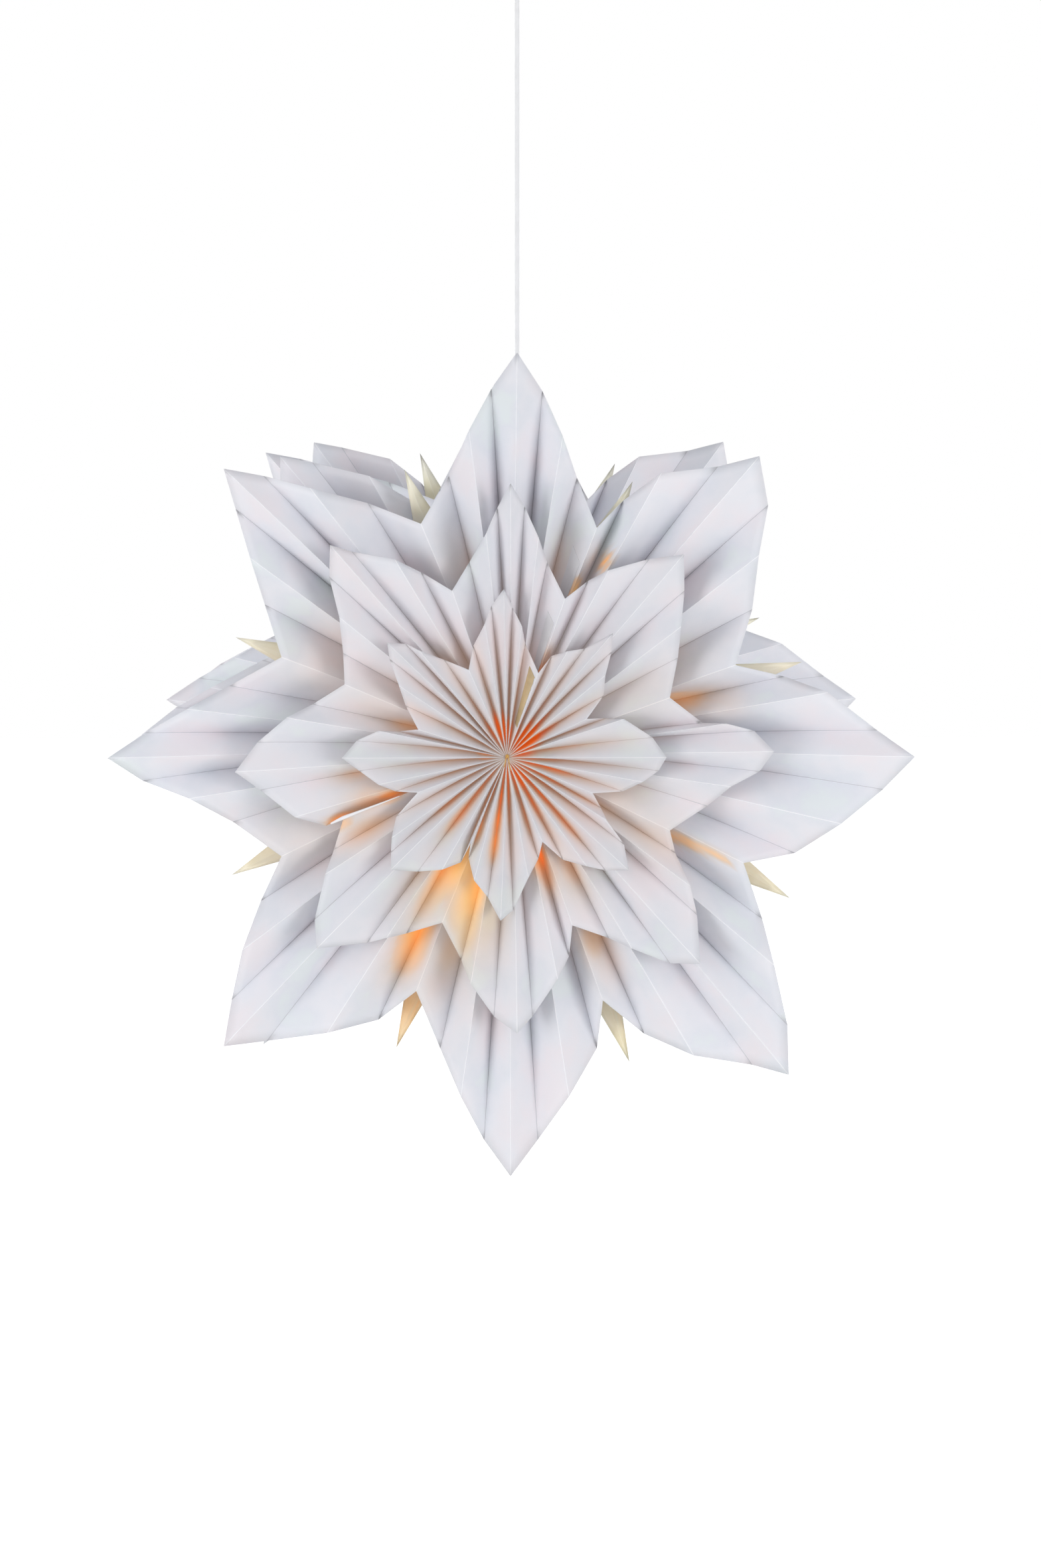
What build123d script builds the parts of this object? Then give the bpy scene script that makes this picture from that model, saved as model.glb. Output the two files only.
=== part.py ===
"""Layered paper star pendant: two units of pleated paper stars on a lampholder, hung by a cord.

Millimetres. The origin is in the ceiling face on the cord's axis, +Z is up and the star faces -Y.
"""
from build123d import *
from math import cos, radians, sin, sqrt
import os

os.makedirs("parts", exist_ok=True)

# ---------------------------------------------------------------- driving dimensions
clearance = 0.3  # between pieces that lie against each other without being fixed
running = 0.15  # round a piece that turns or slides

# Paper stars. Reach is the radius at the points, pleat is the width of one fold of the strip, and
# flare is how far the points lean away from the hub along the star's axis.
star_points = 8
paper = 0.3
steepest_fold = 0.15  # least spread of a fold, as a share of the pleat, at the crowded hub
fold_angles = (0.0, 4.2, 9.0, 15.8, 22.5)  # creases of half a point, from its tip to the notch
rim_shares = (1.0, 0.92, 0.83, 0.72, 0.62)  # where each crease ends, as a share of the reach
flare_power = 1.5

large_reach, large_pleat, large_bore, large_flare = 382.0, 38.0, 8.0, 70.0
rear_large_flare = 63.4
inner_reach, inner_pleat, inner_bore, inner_flare = 355.0, 34.0, 8.0, 50.0
rear_inner_flare = 83.4
inner_turn = 6.5  # the slightly smaller stars sit turned by this angle
medium_reach, medium_pleat, medium_bore = 254.0, 26.0, 5.0
small_reach, small_pleat, small_bore = 152.0, 17.0, 2.0
medium_lean, small_lean = 1.054, 0.972  # flare against that of the star behind, at the same radius

spike_reach, spike_shoulder, spike_root, spike_valley = 288.0, 190.0, 110.0, 95.0
spike_half_angle, spike_root_angle = 6.5, 14.5
spike_hub_depth, spike_tip_depth = 2.4, 10.0
spike_flare, rear_spike_flare = 40.7, 51.0
spike_bore, spike_sheet_share = 10.0, 1.2  # axial thickness of the spikes' paper, in sheets

tape_cover_share = 0.55  # of the fold's width that the closing tape covers
tape_lift, tape_skin = 0.6, 0.3
tape_first_share, tape_last_share = 0.3, 0.85  # of the fold's length
tape_stations = 13

# Hub of each unit
hub_gap = 56.0  # between the two card discs
hub_disc_radius, hub_disc_thickness = 28.0, 2.0
thread_radius, knot_radius, thread_hole_radius = 0.6, 2.3, 1.1

# Cord and ceiling end
star_drop = 802.0  # ceiling to the middle of the star
cord_diameter = 4.7
strap_length, strap_width, strap_thickness = 60.0, 16.0, 1.5
screw_hole_spacing, screw_hole_radius = 44.0, 2.25
tab_width, tab_height = 14.0, 22.0
anchor_width, anchor_height, anchor_drop = 12.0, 9.0, 11.0
anchor_wall, anchor_round = 2.0, 1.5
anchor_screw_radius, anchor_screw_head, anchor_head_height = 1.5, 2.8, 1.8
anchor_slot_width, anchor_slot_depth = 0.8, 0.9
terminal_length, terminal_width, terminal_height, terminal_round = 14.0, 16.0, 14.0, 1.0
terminal_start, terminal_pitch = 11.5, 7.0
terminal_hole, terminal_depth = 3.2, 5.5
terminal_screw_radius, terminal_screw_length = 1.6, 4.0
terminal_slot_width, terminal_slot_depth = 0.6, 0.7
wire_radius, wire_spacing, wire_inside = 1.0, 2.4, 1.0
cord_rise = 1.0  # of the cord's jacket above its anchor

cup_radius, cup_height, cup_wall, cup_corner = 32.0, 46.0, 1.6, 9.0
grip_radius, grip_height, grip_neck_radius = 7.0, 14.0, 5.0
grip_nut_radius, grip_nut_height = 8.0, 3.5
grip_screw_radius, grip_screw_head, grip_screw_head_length = 2.0, 3.5, 4.0
grip_slot_width, grip_slot_depth, grip_screw_chamfer = 0.9, 1.5, 0.5
grip_neck_rest = 1.0  # of the grip's neck above its nut
grip_round = 2.0

# Lampholder, measured down from the middle of the star
nipple_top, nipple_height, nipple_radius = 20.0, 9.0, 5.5
cap_height, cap_radius, cap_wall, cap_round = 28.0, 15.0, 1.8, 6.0
cord_inside = 2.0  # of the cord's end, below the top of the cap
flange_radius, flange_thickness = 17.0, 2.0
barrel_radius, barrel_length, barrel_wall = 13.9, 28.0, 1.6
thread_height, thread_pitch, thread_turns = 0.3, 2.5, 6
spigot_height = 5.0
insert_floor, insert_wall, insert_rise = 5.0, 4.0, 2.0
shell_wall, shell_rest = 0.4, 1.0  # rest is the room above the shell
contact_width, contact_thickness, contact_drop = 4.0, 0.6, 2.6
tongue_start, tongue_bend, tongue_tip = 2.0, 1.4, 3.0  # out from the lampholder's axis
bracket_thickness, bracket_radius, arm_width, arm_rise = 1.2, 22.0, 14.0, 9.0
ring_radius, ring_height, knurls, knurl_radius = 20.0, 8.0, 24, 0.9

# Bulb
bulb_radius, bulb_wall = 22.5, 0.8
bulb_neck_radius, bulb_neck_length = 8.0, 10.0
base_radius, base_thread, base_length, base_turns = 6.5, 0.45, 17.0, 5
base_collar_length = 6.0
contact_radius, contact_height, insulator_height = 2.4, 1.2, 3.0
stem_radius, stem_length = 2.6, 22.0
filament_radius, filament_length, filament_count, filament_circle = 0.7, 20.0, 4, 5.5

# ---------------------------------------------------------------- worked-out places
star_z = -star_drop
hub_face = hub_gap / 2 + hub_disc_thickness + clearance
half_point = 180.0 / star_points
fold_spread = radians(half_point / (len(fold_angles) - 1))
crease_overhang = paper / (2 * steepest_fold)


def hub_thickness(pleat):
    """How thick a star's hub is along its axis, creases included."""
    return pleat + 2 * crease_overhang


medium_flare = medium_lean * large_flare * (medium_reach / large_reach) ** flare_power
small_flare = small_lean * medium_flare * (small_reach / medium_reach) ** flare_power
spike_seat = spike_hub_depth + spike_sheet_share * paper
front_inner_place = hub_face + hub_thickness(inner_pleat) / 2
front_spike_place = front_inner_place + hub_thickness(inner_pleat) / 2 + clearance + spike_seat / 2
front_large_place = front_spike_place + spike_seat / 2 + clearance + hub_thickness(large_pleat) / 2
front_outer_face = front_large_place + hub_thickness(large_pleat) / 2 + clearance
rear_large_place = hub_face + hub_thickness(large_pleat) / 2
rear_spike_place = rear_large_place + hub_thickness(large_pleat) / 2 + clearance + spike_seat / 2
rear_inner_place = rear_spike_place + spike_seat / 2 + clearance + hub_thickness(inner_pleat) / 2
rear_outer_face = rear_inner_place + hub_thickness(inner_pleat) / 2 + clearance

FRONT, REAR = -1, 1


def save(part, name):
    """Labels a finished piece and writes it as its own file."""
    part.label = name
    export_step(part, f"parts/{name}.step")


# ---------------------------------------------------------------- pleated paper
def pleat_law(pleat):
    """Depth of the folds at a radius: a fold keeps its width as it spreads."""

    def depth(r):
        spread = min(r * fold_spread, 0.95 * pleat)
        return sqrt(pleat**2 - spread**2)

    def sheet(r):
        spread = max(r * fold_spread, steepest_fold * pleat)
        return paper * pleat / (2 * spread)

    return depth, sheet


def spike_law(r):
    """Depth of the cream spikes' folds at a radius."""
    return spike_hub_depth + (spike_tip_depth - spike_hub_depth) * r / spike_reach


def spike_sheet(r):
    """Half of the spike sheet's thickness along the axis."""
    return spike_sheet_share * paper / 2


class Rosette:
    """A ring of creases round the star's axis, each a smooth curve from the hub to the rim."""

    def __init__(self, side, place, flare, reach, bore, creases, depth, sheet, tip_side=1, turn=0.0):
        self.side, self.place, self.flare, self.reach, self.bore = side, place, flare, reach, bore
        self.depth, self.sheet, self.tip_side = depth, sheet, tip_side
        self.creases = []
        for point in range(star_points):
            start = turn + point * 2 * half_point
            last = len(creases) - 1
            for number in [*range(-last + 1, 0), *range(last + 1)]:
                angle, end = creases[abs(number)]
                fold = 1 if number % 2 == 0 else -1
                self.creases.append((start + (angle if number >= 0 else -angle), end, fold))

    def spot(self, crease, r, layer):
        """Point of a crease at a radius, on the outer (1), middle (0) or inner (-1) face."""
        angle, _, fold = self.creases[crease % len(self.creases)]
        out = self.place + self.flare * (r / self.reach) ** flare_power
        out += self.tip_side * fold * self.depth(r) / 2 + layer * self.sheet(r)
        a = radians(angle)
        return Vector(r * sin(a), self.side * out, star_z + r * cos(a))

    def curve(self, crease, layer, steps=3):
        end = self.creases[crease % len(self.creases)][1]
        radii = [self.bore + (end - self.bore) * k / steps for k in range(steps + 1)]
        return Edge.make_spline([self.spot(crease, r, layer) for r in radii])

    def solid(self):
        """Closed sheet: two faces for each fold, joined along the rim and the hub."""
        count = len(self.creases)
        outer = [self.curve(i, 1) for i in range(count)]
        inner = [self.curve(i, -1) for i in range(count)]
        faces = []
        for i in range(count):
            j = (i + 1) % count
            faces.append(Face.make_surface_from_curves(outer[i], outer[j]))
            faces.append(Face.make_surface_from_curves(inner[j], inner[i]))
            for end in (0, 1):
                rim = [outer[i] @ end, outer[j] @ end, inner[j] @ end, inner[i] @ end]
                faces.append(Face(Wire.make_polygon(rim)))
        return Solid(Shell(faces))

    def tape(self, crease):
        """Strip of adhesive tape along one fold, parallel to the paper and just clear of it."""
        fold = Face.make_surface_from_curves(self.curve(crease, 1), self.curve(crease + 1, 1))
        low, high = (1 - tape_cover_share) / 2, (1 + tape_cover_share) / 2
        stations = []
        for step in range(tape_stations):
            share = step / (tape_stations - 1)
            along = tape_first_share + (tape_last_share - tape_first_share) * share
            left, right = fold.position_at(along, low), fold.position_at(along, high)
            out = fold.normal_at(along, (low + high) / 2)
            out = out if out.Y * self.side > 0 else -out
            near, far = out * tape_lift, out * (tape_lift + tape_skin)
            stations.append([left + near, right + near, right + far, left + far])
        rails = [Edge.make_spline([s[k] for s in stations]) for k in range(4)]
        faces = [Face.make_surface_from_curves(rails[k], rails[(k + 1) % 4]) for k in range(4)]
        for end in (0, 1):
            faces.append(Face(Wire.make_polygon([rail @ end for rail in rails])))
        return Solid(Shell(faces))


def paper_star(side, place, flare, reach, pleat, bore, tip_side=1, turn=0.0):
    """An eight-pointed pleated star, die cut so that its creases end at the point's outline."""
    depth, sheet = pleat_law(pleat)
    creases = [(angle, share * reach) for angle, share in zip(fold_angles, rim_shares)]
    return Rosette(side, place, flare, reach, bore, creases, depth, sheet, tip_side, turn)


def spike_star(side, place, flare, tip_side):
    """Cream star of narrow folded spikes that stand between the points of the white stars."""
    creases = [
        (0.0, spike_reach),
        (spike_half_angle, spike_shoulder),
        (spike_root_angle, spike_root),
        (half_point, spike_valley),
    ]
    return Rosette(
        side, place, flare, spike_reach, spike_bore, creases, spike_law, spike_sheet, tip_side, half_point
    )


medium_place = hub_thickness(medium_pleat) / 2
small_place = hub_thickness(medium_pleat) + clearance + hub_thickness(small_pleat) / 2

stars = {
    "front_inner_star": paper_star(
        FRONT, front_inner_place, inner_flare, inner_reach, inner_pleat, inner_bore, 1, inner_turn
    ),
    "front_spike_star": spike_star(FRONT, front_spike_place, spike_flare, 1),
    "front_large_star": paper_star(
        FRONT, front_large_place, large_flare, large_reach, large_pleat, large_bore
    ),
    "front_medium_star": paper_star(
        FRONT, front_outer_face + medium_place, medium_flare, medium_reach, medium_pleat, medium_bore
    ),
    "front_small_star": paper_star(
        FRONT, front_outer_face + small_place, small_flare, small_reach, small_pleat, small_bore
    ),
    "rear_large_star": paper_star(
        REAR, rear_large_place, rear_large_flare, large_reach, large_pleat, large_bore, -1
    ),
    "rear_spike_star": spike_star(REAR, rear_spike_place, rear_spike_flare, -1),
    "rear_inner_star": paper_star(
        REAR, rear_inner_place, rear_inner_flare, inner_reach, inner_pleat, inner_bore, -1, inner_turn
    ),
    "rear_medium_star": paper_star(
        REAR, rear_outer_face + medium_place, medium_flare, medium_reach, medium_pleat, medium_bore
    ),
    "rear_small_star": paper_star(
        REAR, rear_outer_face + small_place, small_flare, small_reach, small_pleat, small_bore
    ),
}

for name, rosette in stars.items():
    with BuildPart() as star:
        add(rosette.solid())
    save(star.part, name)

# The fold that closes the ring is the last one before the notch between the two upper points.
seam_crease = 2 * (len(fold_angles) - 2)
for unit in ("front", "rear"):
    with BuildPart() as tapes:
        for size in ("small", "medium", "large", "inner"):
            add(stars[f"{unit}_{size}_star"].tape(seam_crease))
    save(tapes.part, f"{unit}_closing_tapes")

# ---------------------------------------------------------------- hubs
unit_tops = {
    "front": (FRONT, front_outer_face + small_place + hub_thickness(small_pleat) / 2),
    "rear": (REAR, rear_outer_face + small_place + hub_thickness(small_pleat) / 2),
}
arm_inner = hub_gap / 2 - bracket_thickness

for unit, (side, top) in unit_tops.items():
    seat = Plane(origin=(0, side * hub_gap / 2, star_z), x_dir=(1, 0, 0), z_dir=(0, side, 0))
    with BuildPart() as hub_disc:
        with BuildSketch(seat):
            Circle(hub_disc_radius)
            Circle(thread_hole_radius, mode=Mode.SUBTRACT)
        extrude(amount=hub_disc_thickness)
    save(hub_disc.part, f"{unit}_hub_disc")

    knot_sink = sqrt(knot_radius**2 - small_bore**2)
    outer_knot = top + knot_sink + running
    inner_knot = arm_inner - sqrt(knot_radius**2 - thread_hole_radius**2) - running
    inner_end = seat.offset(inner_knot - hub_gap / 2)
    outer_end = seat.offset(outer_knot - hub_gap / 2)
    with BuildPart() as tie:
        with BuildSketch(inner_end):
            Circle(thread_radius)
        extrude(amount=outer_knot - inner_knot)
        with Locations(inner_end.origin, outer_end.origin):
            Sphere(knot_radius)
    save(tie.part, f"{unit}_thread_tie")

# ---------------------------------------------------------------- lampholder
cord_bore = cord_diameter / 2 + running
nipple_z = star_z - nipple_top
cap_z = nipple_z - nipple_height
flange_z = cap_z - cap_height
barrel_z = flange_z - flange_thickness
barrel_end_z = barrel_z - barrel_length

with BuildPart() as holder_cap:
    with BuildSketch(Plane.XZ):
        with BuildLine():
            Polyline(
                (cord_bore, nipple_z),
                (nipple_radius, nipple_z),
                (nipple_radius, cap_z),
                (cap_radius - cap_round, cap_z),
            )
            RadiusArc(
                (cap_radius - cap_round, cap_z), (cap_radius, cap_z - cap_round), cap_round
            )
            Polyline(
                (cap_radius, cap_z - cap_round),
                (cap_radius, flange_z),
                (cap_radius - cap_wall, flange_z),
                (cap_radius - cap_wall, cap_z - cap_round),
            )
            RadiusArc(
                (cap_radius - cap_wall, cap_z - cap_round),
                (cap_radius - cap_round, cap_z - cap_wall),
                -(cap_round - cap_wall),
            )
            Polyline(
                (cap_radius - cap_round, cap_z - cap_wall),
                (cord_bore, cap_z - cap_wall),
                (cord_bore, nipple_z),
            )
        make_face()
    revolve(axis=Axis.Z)
    holder_screw_z = nipple_z - nipple_height / 2
    with BuildSketch(Plane.YZ):
        with Locations((0, holder_screw_z)):
            Circle(grip_screw_radius + running)
    extrude(amount=nipple_radius + running, mode=Mode.SUBTRACT)
save(holder_cap.part, "holder_cap")

screw_tip = cord_bore


def slotted_screw(name, wall_radius, z):
    """Cord grip screw through a round wall, its tip at the cord and its head just clear of the wall."""
    head_face = wall_radius + running
    with BuildPart() as screw:
        with BuildSketch(Plane.YZ.offset(screw_tip)):
            with Locations((0, z)):
                Circle(grip_screw_radius)
        extrude(amount=head_face - screw_tip)
        with BuildSketch(Plane.YZ.offset(head_face)):
            with Locations((0, z)):
                Circle(grip_screw_head)
        extrude(amount=grip_screw_head_length)
        chamfer(screw.edges().sort_by(Axis.X)[-1], length=grip_screw_chamfer)
        with BuildSketch(Plane.YZ.offset(head_face + grip_screw_head_length)):
            with Locations((0, z)):
                Rectangle(2 * grip_screw_head, grip_slot_width)
        extrude(amount=-grip_slot_depth, mode=Mode.SUBTRACT)
    save(screw.part, name)


slotted_screw("holder_grip_screw", nipple_radius, holder_screw_z)

insert_radius = barrel_radius - barrel_wall - running
shell_inner = base_radius + base_thread + running
shell_outer = shell_inner + shell_wall
with BuildPart() as holder_skirt:
    spigot_radius = cap_radius - cap_wall - running
    with BuildSketch(Plane.XY.offset(barrel_end_z)):
        Circle(barrel_radius)
    extrude(amount=barrel_length + flange_thickness)
    with BuildSketch(Plane.XY.offset(barrel_z)):
        Circle(flange_radius)
    extrude(amount=flange_thickness)
    with BuildSketch(Plane.XY.offset(flange_z)):
        Circle(spigot_radius)
    extrude(amount=spigot_height)
    for turn in range(thread_turns):
        crest = barrel_end_z + thread_pitch * (turn + 1)
        with BuildSketch(Plane.XZ):
            with BuildLine():
                Polyline(
                    (barrel_radius - 0.5, crest - thread_pitch * 0.4),
                    (barrel_radius, crest - thread_pitch * 0.4),
                    (barrel_radius + thread_height, crest),
                    (barrel_radius, crest + thread_pitch * 0.4),
                    (barrel_radius - 0.5, crest + thread_pitch * 0.4),
                    close=True,
                )
            make_face()
        revolve(axis=Axis.Z)
    with BuildSketch(Plane.XY.offset(barrel_end_z)):
        Circle(barrel_radius - barrel_wall)
    extrude(amount=barrel_length + flange_thickness + spigot_height, mode=Mode.SUBTRACT)
save(holder_skirt.part, "holder_skirt")

insert_top_z = flange_z + insert_rise
insert_end_z = barrel_end_z + insert_wall
with BuildPart() as holder_insert:
    with BuildSketch(Plane.XY.offset(insert_end_z)):
        Circle(insert_radius)
    extrude(amount=insert_top_z - insert_end_z)
    with BuildSketch(Plane.XY.offset(insert_end_z)):
        Circle(shell_outer + running)
    extrude(amount=insert_top_z - insert_floor - insert_end_z, mode=Mode.SUBTRACT)
save(holder_insert.part, "holder_insert")

shell_top_z = insert_top_z - insert_floor - shell_rest
with BuildPart() as holder_thread_shell:
    with BuildSketch(Plane.XY.offset(insert_end_z)):
        Circle(shell_outer)
        Circle(shell_inner, mode=Mode.SUBTRACT)
    extrude(amount=shell_top_z - insert_end_z)
save(holder_thread_shell.part, "holder_thread_shell")

contact_seat_z = insert_top_z - insert_floor
bulb_top_z = contact_seat_z - contact_drop
tongue_z = bulb_top_z + running
with BuildPart() as holder_contact:
    with BuildSketch(Plane.XZ):
        with BuildLine():
            Polyline(
                (-shell_inner + contact_thickness, contact_seat_z - contact_thickness),
                (-shell_inner + contact_thickness, contact_seat_z),
                (-tongue_start, contact_seat_z),
                (tongue_bend, tongue_z + contact_thickness),
                (tongue_tip, tongue_z + contact_thickness),
                (tongue_tip, tongue_z),
                (tongue_bend, tongue_z),
                (-tongue_start, contact_seat_z - contact_thickness),
                close=True,
            )
        make_face()
    extrude(amount=contact_width / 2, both=True)
save(holder_contact.part, "holder_contact")

bracket_bore = barrel_radius + thread_height + running
with BuildPart() as carrier_bracket:
    with BuildSketch(Plane.XY.offset(barrel_z)):
        Circle(bracket_radius)
        Rectangle(arm_width, hub_gap)
        Circle(bracket_bore, mode=Mode.SUBTRACT)
    extrude(amount=-bracket_thickness)
    for side in (FRONT, REAR):
        wall = Plane(origin=(0, side * hub_gap / 2, star_z), x_dir=(1, 0, 0), z_dir=(0, -side, 0))
        foot = abs(barrel_z - bracket_thickness - star_z)
        with BuildSketch(wall):
            with Locations((0, side * (arm_rise - foot) / 2)):
                Rectangle(arm_width, arm_rise + foot)
            Circle(thread_hole_radius, mode=Mode.SUBTRACT)
        extrude(amount=bracket_thickness)
save(carrier_bracket.part, "carrier_bracket")

ring_top_z = barrel_z - bracket_thickness
with BuildPart() as shade_ring:
    with BuildSketch(Plane.XY.offset(ring_top_z)):
        Circle(ring_radius)
        Circle(bracket_bore, mode=Mode.SUBTRACT)
        with PolarLocations(ring_radius, knurls):
            Circle(knurl_radius, mode=Mode.SUBTRACT)
    extrude(amount=-ring_height)
save(shade_ring.part, "shade_ring")

# ---------------------------------------------------------------- bulb
insulator_z = bulb_top_z - contact_height
base_z = insulator_z - insulator_height
collar_z = base_z - base_length
neck_z = collar_z - base_collar_length
bulb_z = neck_z - bulb_neck_length - sqrt(bulb_radius**2 - bulb_neck_radius**2)

with BuildPart() as bulb_contact:
    with BuildSketch(Plane.XZ):
        with BuildLine():
            Polyline(
                (0, bulb_top_z),
                (contact_radius, bulb_top_z),
                (contact_radius, insulator_z),
                (base_radius - 0.8, base_z),
                (0, base_z),
                close=True,
            )
        make_face()
    revolve(axis=Axis.Z)
save(bulb_contact.part, "bulb_contact")

with BuildPart() as bulb_base:
    with BuildSketch(Plane.XZ):
        with BuildLine():
            pitch = base_length / base_turns
            thread = []
            for turn in range(base_turns):
                top = base_z - turn * pitch
                thread += [(base_radius, top - pitch * 0.15), (base_radius + base_thread, top - pitch / 2)]
            Polyline(
                (0, base_z),
                (base_radius - 0.8, base_z),
                *thread,
                (base_radius, collar_z),
                (bulb_neck_radius, neck_z),
                (0, neck_z),
                close=True,
            )
        make_face()
    revolve(axis=Axis.Z)
save(bulb_base.part, "bulb_base")

with BuildPart() as bulb_glass:
    inner_neck = bulb_neck_radius - bulb_wall
    shoulder_z = neck_z - bulb_neck_length
    reach = bulb_radius - bulb_wall
    inner_shoulder_z = bulb_z + sqrt(reach**2 - inner_neck**2)
    with BuildSketch(Plane.XZ):
        with BuildLine():
            Line((inner_neck, neck_z), (bulb_neck_radius, neck_z))
            Line((bulb_neck_radius, neck_z), (bulb_neck_radius, shoulder_z))
            ThreePointArc((bulb_neck_radius, shoulder_z), (bulb_radius, bulb_z), (0, bulb_z - bulb_radius))
            Line((0, bulb_z - bulb_radius), (0, bulb_z - reach))
            ThreePointArc((0, bulb_z - reach), (reach, bulb_z), (inner_neck, inner_shoulder_z))
            Line((inner_neck, inner_shoulder_z), (inner_neck, neck_z))
        make_face()
    revolve(axis=Axis.Z)
save(bulb_glass.part, "bulb_glass")

stem_end_z = neck_z - stem_length
with BuildPart() as bulb_stem:
    with BuildSketch(Plane.XY.offset(neck_z)):
        Circle(inner_neck - clearance)
    with BuildSketch(Plane.XY.offset(neck_z - stem_length / 3)):
        Circle(stem_radius)
    loft(ruled=True)
    with BuildSketch(Plane.XY.offset(neck_z - stem_length / 3)):
        Circle(stem_radius)
    extrude(amount=-stem_length * 2 / 3)
    with BuildSketch(Plane.XY.offset(stem_end_z)):
        Circle(filament_circle + filament_radius)
    extrude(amount=-filament_radius)
save(bulb_stem.part, "bulb_stem")

with BuildPart() as bulb_filaments:
    with BuildSketch(Plane.XY.offset(stem_end_z)):
        with PolarLocations(filament_circle, filament_count):
            Circle(filament_radius)
    extrude(amount=min(filament_length, stem_length * 2 / 3 - clearance))
save(bulb_filaments.part, "bulb_filaments")

# ---------------------------------------------------------------- ceiling end
with BuildPart() as ceiling_strap:
    with BuildSketch(Plane.XY):
        SlotOverall(strap_length, strap_width)
        with GridLocations(screw_hole_spacing, 0, 2, 1):
            Circle(screw_hole_radius, mode=Mode.SUBTRACT)
    extrude(amount=-strap_thickness)
    tab_face = strap_width / 2 - strap_thickness
    with BuildSketch(Plane.XZ.offset(-tab_face)):
        with Locations((0, -tab_height / 2)):
            Rectangle(tab_width, tab_height)
        with Locations((0, -anchor_drop - anchor_height / 2)):
            Circle(anchor_screw_radius + running, mode=Mode.SUBTRACT)
    extrude(amount=-strap_thickness)
save(ceiling_strap.part, "ceiling_strap")

anchor_top_z = -anchor_drop
anchor_z = anchor_top_z - anchor_height / 2
with BuildPart() as cord_anchor:
    with BuildSketch(Plane.XY.offset(anchor_top_z)):
        with BuildLine():
            back = tab_face
            front_edge = -cord_diameter / 2 - anchor_wall
            half = anchor_width / 2
            Polyline((-half, back), (half, back), (half, front_edge), (-half, front_edge), close=True)
        make_face()
        Circle(cord_diameter / 2 + running, mode=Mode.SUBTRACT)
    extrude(amount=-anchor_height)
    fillet(cord_anchor.edges().filter_by(Axis.Z).group_by(Axis.Y)[0], radius=anchor_round)
save(cord_anchor.part, "cord_anchor")

with BuildPart() as anchor_screw:
    outer_face = tab_face + strap_thickness
    with BuildSketch(Plane.XZ.offset(-outer_face)):
        with Locations((0, anchor_z)):
            Circle(anchor_screw_head)
    extrude(amount=-anchor_head_height)
    with BuildSketch(Plane.XZ.offset(-outer_face)):
        with Locations((0, anchor_z)):
            Circle(anchor_screw_radius)
    extrude(amount=strap_thickness)
    with BuildSketch(Plane.XZ.offset(-outer_face - anchor_head_height)):
        with Locations((0, anchor_z)):
            Rectangle(2 * anchor_screw_head, anchor_slot_width)
    extrude(amount=anchor_slot_depth, mode=Mode.SUBTRACT)
save(anchor_screw.part, "anchor_screw")

terminal_top_z = -strap_thickness
terminal_mid_x = terminal_start + terminal_length / 2
terminal_mid_z = terminal_top_z - terminal_height / 2
with BuildPart() as terminal_block:
    with BuildSketch(Plane.XY.offset(terminal_top_z)):
        with Locations((terminal_mid_x, 0)):
            RectangleRounded(terminal_length, terminal_width, terminal_round)
    extrude(amount=-terminal_height)
    for face_x, way in ((terminal_start, 1), (terminal_start + terminal_length, -1)):
        with BuildSketch(Plane.YZ.offset(face_x)):
            with GridLocations(terminal_pitch, 0, 2, 1):
                with Locations((0, terminal_mid_z)):
                    Rectangle(terminal_hole, terminal_hole)
        extrude(amount=way * terminal_depth, mode=Mode.SUBTRACT)
    with BuildSketch(Plane.XY.offset(terminal_top_z - terminal_height)):
        with Locations((terminal_mid_x, 0)):
            with GridLocations(0, terminal_pitch, 1, 2):
                Circle(terminal_screw_radius + running)
    extrude(amount=terminal_screw_length + running, mode=Mode.SUBTRACT)
save(terminal_block.part, "terminal_block")

with BuildPart() as terminal_screws:
    with BuildSketch(Plane.XY.offset(terminal_top_z - terminal_height + running)):
        with Locations((terminal_mid_x, 0)):
            with GridLocations(0, terminal_pitch, 1, 2):
                Circle(terminal_screw_radius)
    extrude(amount=terminal_screw_length - 2 * running)
    with BuildSketch(Plane.XY.offset(terminal_top_z - terminal_height + running)):
        with Locations((terminal_mid_x, 0)):
            with GridLocations(0, terminal_pitch, 1, 2):
                Rectangle(2 * terminal_screw_radius, terminal_slot_width)
    extrude(amount=terminal_slot_depth, mode=Mode.SUBTRACT)
save(terminal_screws.part, "terminal_screws")

cord_top_z = anchor_top_z + cord_rise
cord_end_z = cap_z - cap_wall - cord_inside
cord_length = cord_top_z - cord_end_z
with BuildPart() as cord:
    with BuildSketch(Plane.XY.offset(cord_end_z)):
        Circle(cord_diameter / 2)
    extrude(amount=cord_length)
save(cord.part, "cord")

with BuildPart() as feed_wires:
    for way in (-1, 1):
        start = (0, way * wire_spacing / 2, cord_top_z)
        corner = (0, way * wire_spacing / 2, terminal_mid_z)
        mouth = (terminal_start + wire_inside, way * terminal_pitch / 2, terminal_mid_z)
        rise = abs(terminal_mid_z - cord_top_z)
        with BuildLine() as route:
            FilletPolyline(start, corner, mouth, radius=0.45 * min(rise, terminal_start))
        with BuildSketch(Plane(origin=start, z_dir=(0, 0, 1))):
            Circle(wire_radius)
        sweep(path=route.wires()[0])
save(feed_wires.part, "feed_wires")

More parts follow.
